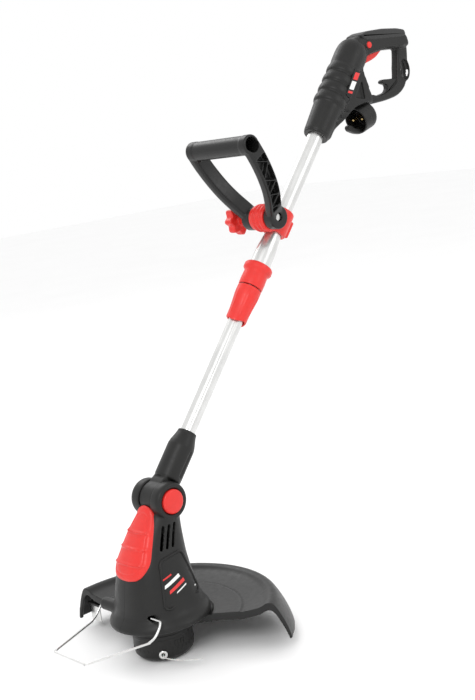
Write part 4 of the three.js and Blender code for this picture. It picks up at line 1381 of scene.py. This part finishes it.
@dataclass
class Shaft:
    """The neck, the two silver tubes and the red collars that lock them."""

    lower_radius: float = 11.0
    upper_radius: float = 12.6
    swage_radius: float = 15.4
    neck_top: float = 104.0
    seam: float = 340.0
    twist_foot: float = 286.0
    grooves: tuple = (-2.2, 0.94)  # angles of the lower tube's grooves

    def neck(self) -> None:
        """The knuckle and the socket that holds the lower tube."""
        knuckle = soft_turned([(0, -13.7), (24.5, -13.7), (24.5, 13.7), (0, 13.7)], 1.0, 96)
        profile = [(0, 4), (12, 4), (12.4, 28.4), (18.2, 28.6), (19.8, 32), (19.8, 80), (19.2, 82.5)]
        profile += [(18.9, 84.5), (14.2, 100), (14.2, 103), (13.6, self.neck_top), (0, self.neck_top)]
        barrel = soft_turned(profile, 0.9, 96)
        throat = [(-18.5, 2), (18.5, 2), (17.6, 21), (13.5, 33), (-13.5, 33), (-17.6, 21)]
        tongue = plate(eased(throat, 5.0, 6), -13.6, 13.6, 1.0)
        core = together([knuckle.on(across(0, 0, SHAFT)), tongue.on(SHAFT), barrel.on(SHAFT)])
        r = self.lower_radius + 0.2
        bore = turned([(0, 60), (r, 60), (r, 120), (0, 120)], 72)
        scoop = eased([(3, 36), (12, 36), (14, 74), (4, 78)], 3.0, 6)
        cuts = [bore.on(SHAFT)]
        cuts += [plate(scoop, y, y + 8.8, 0.8).on(SHAFT) for y in (-26, 17.2)]
        hole = turned([(0, -30), (6.3, -30), (6.3, 30), (0, 30)], 48)
        cuts.append(hole.on(across(0, 0, SHAFT)))
        mesh = moulded(core, cuts, pitch=0.9)
        show("neck_socket", mesh, BLACK, Body.LOWER, ("neck",))
        seat = across(9.0, 66.0, SHAFT).inner((0, 0, 16.6), PLAN.rows)
        show("neck_screw", screw_head(2.9, 1.6).on(seat), STEEL, Body.LOWER)

    def tubes(self) -> None:
        """Both tubes; the lower one has two shallow guide grooves along it."""
        r = self.lower_radius

        def groove(t: Array, radius: Array, h: Array) -> tuple[Array, Array]:
            """Sinks the radius near each groove's angle.

            Args:
                t: the angle.
                radius: the radius.
                h: the height.
            Returns:
                The new radius and height.
            """
            away = [np.angle(np.exp(1j * (t - a))) for a in self.grooves]
            dips = sum(np.exp(-((angle / 0.12) ** 2)) for angle in away)
            return radius - 0.45 * dips, h

        lower = ring([(r - 1.4, 41), (r, 41), (r, 240), (r, 450), (r - 1.4, 450)], 0.3, 144, groove)
        show("lower_shaft_tube", lower.on(SHAFT), SILVER, Body.LOWER, ("lower_tube",))
        s, u = self.swage_radius, self.upper_radius
        swage = [(s, 343), (s, 380), (s, 402), (s - 0.9, 412), (u + 0.5, 426), (u, 436), (u, 676)]
        outside = through(swage, 8, False)
        inside = outside[::-1] - np.array([1.0, 0])
        upper = turned(np.vstack([outside, inside]), 96, None, Ends.LOOP)
        show("upper_shaft_tube", upper.on(SHAFT), SILVER, Body.REAR, ("upper_tube",))

    def collars(self) -> None:
        """The fixed sleeve with its flange, and the fluted ring that twists below it."""
        s = self.swage_radius + 0.3
        sleeve = [(s, 342), (17.9, 342), (18.6, 343.2), (18.9, 352), (18.3, 366), (20.4, 368.6)]
        sleeve += [(22, 370.5), (22, 376.6), (20.4, 379), (s, 379)]
        show("upper_collar", ring(sleeve, 0.8, 96).on(SHAFT), RED, Body.REAR, ("collar_sleeve",))
        low, high = self.twist_foot, self.seam

        def flutes(t: Array, r: Array, h: Array) -> tuple[Array, Array]:
            """Raises six fine flutes and draws the foot out into two ears.

            Args:
                t: the angle.
                r: the radius.
                h: the height.
            Returns:
                The new radius and height.
            """
            share = (high - h) / (high - low)
            near = np.abs(np.angle(np.exp(1j * (6 * t)))) / 6
            rise = np.clip((h - 292) / 6, 0, 1) * np.clip((334 - h) / 8, 0, 1)
            rise = rise * np.clip(r - 14.9, 0, 1)
            ear = 2.6 * np.cos(2 * (t - 0.6)) * share**3
            return r + 0.75 * np.exp(-((near / 0.075) ** 2)) * rise, h - ear - 1.2 * share**3

        b = self.lower_radius + 0.4
        outside = [(15.4, low), (15.9, 288), (16.0, 298), (16.6, 308), (17.7, 320), (18.4, 328)]
        steps = through([*outside, (18.4, high)], 10, closed=False)
        inside = np.array([(14.6, high), (14.6, 322), (13.8, 300), (b, 299), (b, 290), (13.2, low)])
        twist = turned(np.vstack([steps, inside]), 144, flutes, Ends.LOOP)
        show("twist_ring", twist.on(SHAFT), RED, Body.TWIST, ("twist_collar",), 45.0)

    def build(self) -> None:
        """Neck, tubes and collars."""
        self.neck()
        self.tubes()
        self.collars()


# ---- front handle ----


@dataclass
class FrontHandle:
    """The sliding clamp, the D-shaped handle and the star knob that tightens it."""

    hub_v: float = -28.0
    hub_u: float = 447.0
    grip_v: float = -150.3
    grip_u: float = 487.4
    arm: tuple = ((24.5, 0), (27.5, 9), (34, 21), (43, 37), (51, 56), (57, 79), (60.5, 104), (61, 127))

    def hub(self) -> Axes:
        """The tilt axis, with Z along the world's Y."""
        return across(self.hub_v, self.hub_u, SHAFT)

    def plane(self) -> tuple[Axes, float]:
        """The handle's plane.

        Returns:
            Its frame, with X along the hub and Y towards the grip, and the distance to the grip.
        """
        way = np.array([self.grip_v - self.hub_v, 0.0, self.grip_u - self.hub_u])
        reach = float(np.linalg.norm(way))
        up = way / reach
        rows = ((0, 1, 0), tuple(up), (up[2], 0.0, -up[0]))
        return SHAFT.inner((self.hub_v, 0, self.hub_u), rows), reach

    def clamp(self) -> None:
        """The red saddle, with three fins round the tilt axis."""
        fins = [(0, -15), (18.2, -15), (19, -14.2), (19, -12.2)]
        for y in (-12.0, -4.0, 4.0):
            fins += [(21.2, y), (21.2, y + 3.4), (19, y + 3.8), (19, y + 7.6)]
        fins += [(19, 14.4), (18.2, 15), (0, 15)]
        saddle = [(0, 436), (17.0, 436), (18.5, 438), (18.4, 456), (18.5, 474), (17.2, 476), (0, 476)]
        bridge = eased([(self.hub_v, 432), (-4, 436), (-4, 468), (self.hub_v, 462)], 6, 5)
        web = plate(bridge, -13.4, 13.4, 3)
        ear = block((12, 24), (-7, 7), (442, 470), 2.0)
        parts = [turned(fins, 96).on(self.hub()), soft_turned(saddle, 1, 80).on(SHAFT)]
        core = together([*parts, web.on(SHAFT), ear.on(SHAFT)])
        bore = turned([(0, 410), (12.9, 410), (12.9, 500), (0, 500)], 72).on(SHAFT)
        slit = block((0, 40), (-1.1, 1.1), (420, 490), 0.2).on(SHAFT)
        hole = turned([(0, -40), (3.3, -40), (3.3, 40), (0, 40)], 32).on(self.hub())
        mesh = moulded(core, [bore, slit, hole], pitch=0.7, rounds=2)
        show("clamp_saddle", mesh, RED, Body.CLAMP, ("clamp_body",))
        shank = turned([(0, -27), (3, -27), (3, 60), (0, 60)], 40)
        head = turned(eased([(0, -29.8), (5.4, -29.8), (6, -29), (6, -26), (0, -26)], 0.2, 3, False), 6)
        show("clamp_screw", (shank + head).on(self.hub()), STEEL, Body.CLAMP, ("clamp_bolt",), 25.0)

    def knob(self) -> None:
        """An eight-lobed knob: radius f (R + d cos 8t) with f from 0 at the face to 1 at the rim."""

        def lobes(t: Array, r: Array, h: Array) -> tuple[Array, Array]:
            """Waves the rim, and not the boss behind it.

            Args:
                t: the angle.
                r: the radius.
                h: the height.
            Returns:
                The new radius and height.
            """
            share = np.clip((r - 12.0) / 9.4, 0, 1) * (h > 48)
            return r + 2.4 * np.cos(8 * t) * share, h

        profile = [(0, 36), (8, 36), (8.4, 50), (18.5, 50.2), (21, 51.4), (21.4, 53.5), (21.2, 62.5)]
        profile += [(20, 65), (17.5, 66), (12, 66), (10.6, 64.8), (3.5, 64.6), (0, 64.8)]
        knob = turned(through(profile, 5, closed=False), 160, lobes).on(self.hub())
        show("star_knob", knob, RED, Body.KNOB, ("clamp_knob",), 50.0)

    def handle(self) -> None:
        """Two ribbed arms with hollow outer faces, two hubs and the tubular grip."""
        axes, reach = self.plane()
        half = np.array([(13.5, -7.5), (13.5, 7.5), (-13.5, 7.5), (-13.5, -7.5)])
        section = eased(half, 5.0, 6)
        pocket = eased(half * np.array([10.2 / 13.5, 1.0]) + np.array([0, 5.2]), 2.0, 4)
        core, cuts, extra = [], [], []
        for side in (-1, 1):
            line = through([(side * a, t, 0.0) for a, t in self.arm], 6, closed=False)
            core.append(self.strip(line, section, side))
            inner = line[(line[:, 1] > 18) & (line[:, 1] < 110)]
            cuts.append(self.strip(inner, pocket, side))
            extra += self.lattice(inner, side)
            core.append(self.roll(17.8, side * 15.7, side * 32.7, 0.0, 2.0))
            core.append(self.roll(14.8, side * 51.0, side * 65.0, reach, 1.6))
        core += [self.roll(14.2, -60, 60, reach, 0.5), self.roll(9, 30, 35.7, 0.0, 0.5)]
        cuts += [
            self.roll(3.4, -45, 45, 0.0, 0.1),
            self.roll(6.4, -37, -25.9, 0.0, 0.1),
            self.roll(11.2, -80, -34, reach, 0.1),
            self.roll(11.2, 34, 80, reach, 0.1),
        ]
        mesh = moulded(together(core), cuts, together(extra), 0.95)
        show("loop_handle", mesh_on(mesh, axes), SMOOTH_BLACK, Body.FRONT, ("front_handle",))

    def strip(self, line: Array, section: Array, side: int) -> Solid:
        """A section along an arm, its second axis pointing out of the loop.

        Args:
            line: the arm's middle line.
            section: rows of across and out.
            side: -1 for the left arm, 1 for the right.
        Returns:
            The solid.
        """
        turned_section = section if side > 0 else section * np.array([1, -1])
        return swept(line, turned_section[:, ::-1] * np.array([-1, 1]), (0, 0, 1))

    def lattice(self, line: Array, side: int) -> list[Solid]:
        """Slanting webs across the hollow face of an arm, alternating like a truss.

        Args:
            line: the arm's middle line beside the hollow.
            side: -1 for the left arm, 1 for the right.
        Returns:
            The webs.
        """
        webs = []
        stops = np.linspace(0, len(line) - 1, 8).astype(int)
        for k, (a, b) in enumerate(zip(stops[:-1], stops[1:])):
            lean = 10.5 if k % 2 else -10.5
            start, end = line[a] + np.array([0, 0, -lean]), line[b] + np.array([0, 0, lean])
            out = np.array([side * (end - start)[1], -side * (end - start)[0], 0.0])
            out /= np.linalg.norm(out)
            path = np.linspace(start, end, 4)
            web = eased([(-0.9, -3.4), (0.9, -3.4), (0.9, 5.6), (-0.9, 5.6)], 0.4, 3)
            webs.append(swept(path, web, tuple(out)))
        return webs

    def roll(self, radius: float, start: float, end: float, reach: float, rim: float) -> Solid:
        """A round bar along the hub's direction.

        Args:
            radius: its radius.
            start: where it starts across the handle.
            end: where it ends.
            reach: how far from the hub it lies.
            rim: the rounding of its edges.
        Returns:
            The bar, in the handle's frame.
        """
        profile = [(0, start), (radius, start), (radius, end), (0, end)]
        place = Axes((0, reach, 0), ((0, 1, 0), (0, 0, 1), (1, 0, 0)))
        return soft_turned(profile, rim, 64).on(place)

    def build(self) -> None:
        """Clamp, knob and handle."""
        self.clamp()
        self.knob()
        self.handle()


# ---- rear handle ----


@dataclass
class RearHandle:
    """The closed rear handle with its switch, cord hook and mains inlet."""

    half: float = 17.0
    loop_half: float = 8.2
    body: tuple = (
        (440, 682), (470, 720), (510, 770), (520, 806), (537, 821), (562, 828), (600, 830),
        (636, 829), (656, 826), (665, 819), (666, 803), (640, 801), (610, 800.5), (588, 797.5),
        (568, 793.5), (552, 786), (547, 775), (554.6, 751), (563, 730.5), (560, 718), (540, 717.5),
        (522, 714.5), (508, 708), (490, 697), (467, 685), (452, 671),
    )
    loop: tuple = (
        (550, 717.5), (587, 718.5), (612, 721.2), (634, 726), (651, 736), (660, 750), (666.5, 775),
        (669.5, 800), (667, 818), (646, 818), (643, 794), (639, 771), (635.5, 752), (627, 743),
        (607, 733.5), (595, 731), (584, 729.5), (573, 732), (552, 732),
    )
    hook: tuple = (
        (605, 730), (628, 739), (639, 749), (639, 754), (615, 753.5), (605, 754), (600, 752),
        (600, 748), (605, 746.5), (611, 745), (612.5, 740),
    )
    lug: tuple = (
        (536, 681), (536, 672.5), (522, 675), (509, 680), (506, 685), (509, 689.5), (515, 689),
        (522, 684),
    )
    insert: tuple = (
        (548, 826), (554, 819), (560, 817), (648, 817.5), (658, 821), (655, 829.5), (636, 832.4),
        (600, 833.4), (564, 831.4),
    )
    lever: tuple = (
        (551, 777), (554, 790), (566, 800), (586, 805), (601, 811), (609, 811), (611, 805),
        (603, 798.5), (590, 790), (577, 785.5), (565, 782.5),
    )
    slot_at: tuple = (655.0, 766.0)
    lock_at: tuple = (564.0, 809.5)
    screws: tuple = ((520, 722), (540, 803), (648, 812))
    badge: tuple = ((-2.6, 739.3), (10.9, 740.5), (13.6, 691.1), (1.2, 690.9))
    badge_stripes: tuple = ((RED_MARK, 695, 699), (WHITE_MARK, 702, 717), (RED_MARK, 720, 733))
    rings: int = 4
    ring_pitch: float = 18.6
    slot_half: tuple = (7.0, 13.0)
    trigger_bay: tuple = (
        (543, 774), (551, 799), (563, 808), (584, 811.5), (600, 814.5), (614, 814.5), (614, 770),
        (545, 762),
    )
    brace: tuple = ((538, 756), (519, 730.5), (541, 726.5))

    def barrel(self) -> Solid:
        """The nose that holds the upper tube, swelling into bellows rings.

        Returns:
            The solid.
        """
        profile = [(0, 615), (17.6, 615), (19.6, 616), (20.6, 618), (21.2, 628), (22, 640)]
        profile += [(23.4, 662), (23.6, 667)]
        bulge = np.array([(22.9, -0.6), (25.6, 1.4), (26.4, 6), (26.0, 11.5), (24.6, 15.6)])
        for i in range(self.rings):
            profile += [tuple(row) for row in bulge + (0, 669 + self.ring_pitch * i)]
        profile += [(25.4, 752), (25, 774), (19, 788), (8, 793), (0, 794)]
        return turned(through(profile, 4, closed=False), 112).on(SHAFT)

    def slot_rings(self) -> Solid:
        """The hanging slot: ellipses that widen by 3.4 (1 - exp(-(y / 4.8)^6)) towards each face.

        Returns:
            The cutter.
        """
        y = np.linspace(-10.5, 10.5, 31)[:, None]
        t = np.linspace(0, 2 * np.pi, 48, endpoint=False)[None, :]
        flare = 3.4 * (1 - np.exp(-((y / 4.8) ** 6)))
        x = self.slot_at[0] + (self.slot_half[0] + flare) * np.cos(t)
        z = self.slot_at[1] + (self.slot_half[1] + flare) * np.sin(t)
        return skin(np.stack([x, y + 0 * t, z], -1))

    def slot_lip(self, y: float) -> Solid:
        """A round bead about the hanging slot.

        Args:
            y: the face that it lies on.
        Returns:
            The bead.
        """
        t = np.linspace(0, 2 * np.pi, 64, endpoint=False)
        a, b = self.slot_half[0] + 4.6, self.slot_half[1] + 4.2
        centre = np.array([self.slot_at[0], y, self.slot_at[1]])
        path = centre + np.stack([a * np.cos(t), 0 * t, b * np.sin(t)], 1)
        r = circle(2.0, 10)
        way = np.stack([-a * np.sin(t), 0 * t, b * np.cos(t)], 1)
        way /= np.linalg.norm(way, axis=1)[:, None]
        out = np.cross(way, (0, 1, 0))
        rings = path[:, None] + r[None, :, :1] * out[:, None] + r[None, :, 1:] * np.array([0, 1.0, 0])
        return skin(rings, Ends.LOOP)

    def housing(self) -> None:
        """The two black shells."""
        rounded_body = through(self.body, 4)
        core = together(
            [
                self.barrel(),
                plate(rounded_body, -self.half, self.half, 9.0, 8),
                plate(through(self.loop, 4), -self.loop_half, self.loop_half, 4.5, 6),
                self.slot_lip(-7.6),
                self.slot_lip(7.6),
            ]
        )
        brace = eased(self.brace, 2.5, 5)
        cuts = [
            self.slot_rings(),
            plate(eased(self.trigger_bay, 2.0, 4), -6.9, 6.9, 0.5, 3),
            turned([(0, 590), (12.9, 590), (12.9, 676), (0, 676)], 64).on(SHAFT),
            turned([(0, -30), (5.7, -30), (5.7, -6.2), (0, -6.2)], 40).on(across(*self.lock_at)),
            plate(brace, -24, -13.0, 1.0, 4),
            plate(brace, 13.0, 24, 1.0, 4),
        ]
        for x, z in self.screws:
            cuts.append(turned([(0, 12.6), (3.9, 12.6), (3.9, 30), (0, 30)], 32).on(across(x, z)))
        for i in range(3):
            place = leaning(np.degrees(0.35), (512 - 11 * i, 0, 706 - 9 * i))
            cuts.append(block((-26, -12), (-30, -14.6), (-1.7, 1.7), 0.6).on(place))
            cuts.append(block((-26, -12), (14.6, 30), (-1.7, 1.7), 0.6).on(place))
        mesh = moulded(core, [together(cuts[:2]), together(cuts[2:])], pitch=1.1, rounds=4)
        show_halves("rear_housing", mesh, BLACK, Body.REAR)
        nose = ring([(12.9, 613.8), (18.9, 613.8), (19.9, 615.4), (19.9, 618.6), (12.9, 618.6)], 0.8, 112)
        show("nose_ring", nose.on(SHAFT), SMOOTH_BLACK, Body.REAR)

    def badge_plate(self) -> None:
        """A plain raised badge on the near side, with three slanting stripes."""
        outline = eased(self.badge, 3.0, 6)
        show("badge_base", plate(outline, -27.6, -20, 1.2, 5).on(SHAFT), BADGE_BLACK, Body.REAR)
        for k, (finish, low, high) in enumerate(self.badge_stripes):
            shift = 0.24 * (715.0 - np.array([low, high])) / 5.0
            left, right = 1.6 + shift, 10.2 + shift
            stripe = [(left[0], low), (right[0], low + 4), (right[1], high + 4), (left[1], high)]
            mark = plate(eased(stripe, 0.5, 3), -28.0, -27.2, 0.2, 3)
            show(f"badge_stripe_{k + 1}", mark.on(SHAFT), finish, Body.REAR)

    def fittings(self) -> None:
        """Soft insert, cord hook, inlet cup and pins, screws and switch parts."""
        insert = plate(eased(self.insert, 5.0, 6), -self.half - 1.4, self.half + 1.4, 3.6, 8)
        show("palm_insert", insert, GRIP, Body.REAR, ("grip_insert",), 60.0)
        hook = plate(eased(self.hook, 3.2, 6), -5.5, 5.5, 1.8, 5)
        show("lead_hook", hook, BLACK, Body.REAR, ("cord_hook",))
        self.inlet()
        for k, (x, z) in enumerate(self.screws):
            head = screw_head(3.4, 2.2).on(across(x, z).inner((0, 0, 13), PLAN.rows))
            stem = turned([(0, -5), (1.6, -5), (1.6, 13.2), (0, 13.2)], 20).on(across(x, z))
            show(f"case_screw_{k + 1}", head + stem, STEEL, Body.REAR, (f"rear_screw_{k + 1}",))
        bezel = ring([(5.7, -17.9), (7.6, -17.4), (7.8, -16.0), (5.7, -16.0)], 0.5, 48)
        show("lock_bezel", bezel.on(across(*self.lock_at)), SMOOTH_BLACK, Body.REAR)
        cap = [(0, -19.9), (3.4, -19.7), (5.2, -18.4), (5.2, -10), (2.4, -10), (2.4, -9.4), (0, -9.4)]
        button = soft_turned(cap, 0.6, 48).on(across(*self.lock_at))
        show("lock_button", button, RED, Body.LOCK, ("lock_off_button",))
        lever = plate(eased(self.lever, 4.0, 6), -6, 6, 2.0, 6)
        show("trigger_lever", lever, RED, Body.TRIGGER, ("trigger",))

    def inlet(self) -> None:
        """The round shroud about the mains pins, open towards the nose."""
        axes = along((560.0, 0.0, 703.5), (530.0, 0.0, 694.0))
        cup = [(0, -0.6), (14, -0.4), (20, 1.2), (22, 5), (22, 14), (21.4, 15), (22, 16), (22, 30.6)]
        cup += [(21.2, 31.4), (19.4, 31.2), (19.2, 30), (19.2, 5), (0, 5)]
        wall = turned(eased(cup, 1.2, 4, False), 96).on(axes)
        lug = plate(eased(self.lug, 3.0, 5), -5, 5, 1.8, 5)
        mesh = moulded(wall + lug, pitch=0.8, rounds=2)
        show("inlet_cup", mesh, BLACK, Body.REAR, ("inlet_shroud",))
        for word, y in (("left", -9.5), ("right", 9.5)):
            pin = soft_turned([(0, 4.6), (2.4, 4.6), (2.4, 24), (1.6, 26.6), (0, 26.8)], 0.8, 32)
            place = axes.inner((0, y, 0), PLAN.rows)
            show(f"mains_pin_{word}", pin.on(place), BRASS, Body.REAR, (f"inlet_pin_{word}",))

    def build(self) -> None:
        """Everything on the rear handle."""
        self.housing()
        self.badge_plate()
        self.fittings()


@dataclass
class InnerParts:
    """CAD pieces inside the machine that keep their shape and take a finish."""

    finishes: dict = field(
        default_factory=lambda: {
            "motor_can": CAN,
            "rotor": COPPER,
            "lower_bearing": STEEL,
            "upper_bearing": STEEL,
            "motor_shaft": STEEL,
            "cooling_fan": NYLON,
            "drive_hub": BLACK,
            "line_reel": RED,
            "wound_line": WOUND,
            "tilt_pin": STEEL,
            "tilt_spring": STEEL,
            "inner_lead": DARK,
            "guide_bush": NYLON,
            "clamping_jaw": NYLON,
            "switch_body": DARK,
            "trigger_pin": STEEL,
            "trigger_spring": STEEL,
        }
    )

    def dress(self) -> None:
        """Gives each carried-over node its material."""
        for name, finish in self.finishes.items():
            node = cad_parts[name]
            for slot in node.material_slots:
                slot.material = material_of(finish)
            LOG.info("%s: dressed as %s", name, finish.name)


def main() -> None:
    """Builds the studio and every assembly."""
    logging.basicConfig(level=logging.INFO, format="%(name)s %(message)s")
    studio = Studio()
    studio.camera()
    Spool().build()
    MotorHead().build()
    Guard().build()
    Shaft().build()
    FrontHandle().build()
    RearHandle().build()
    InnerParts().dress()
    studio.light()
    studio.floor()


if __name__ == "__main__":
    main()
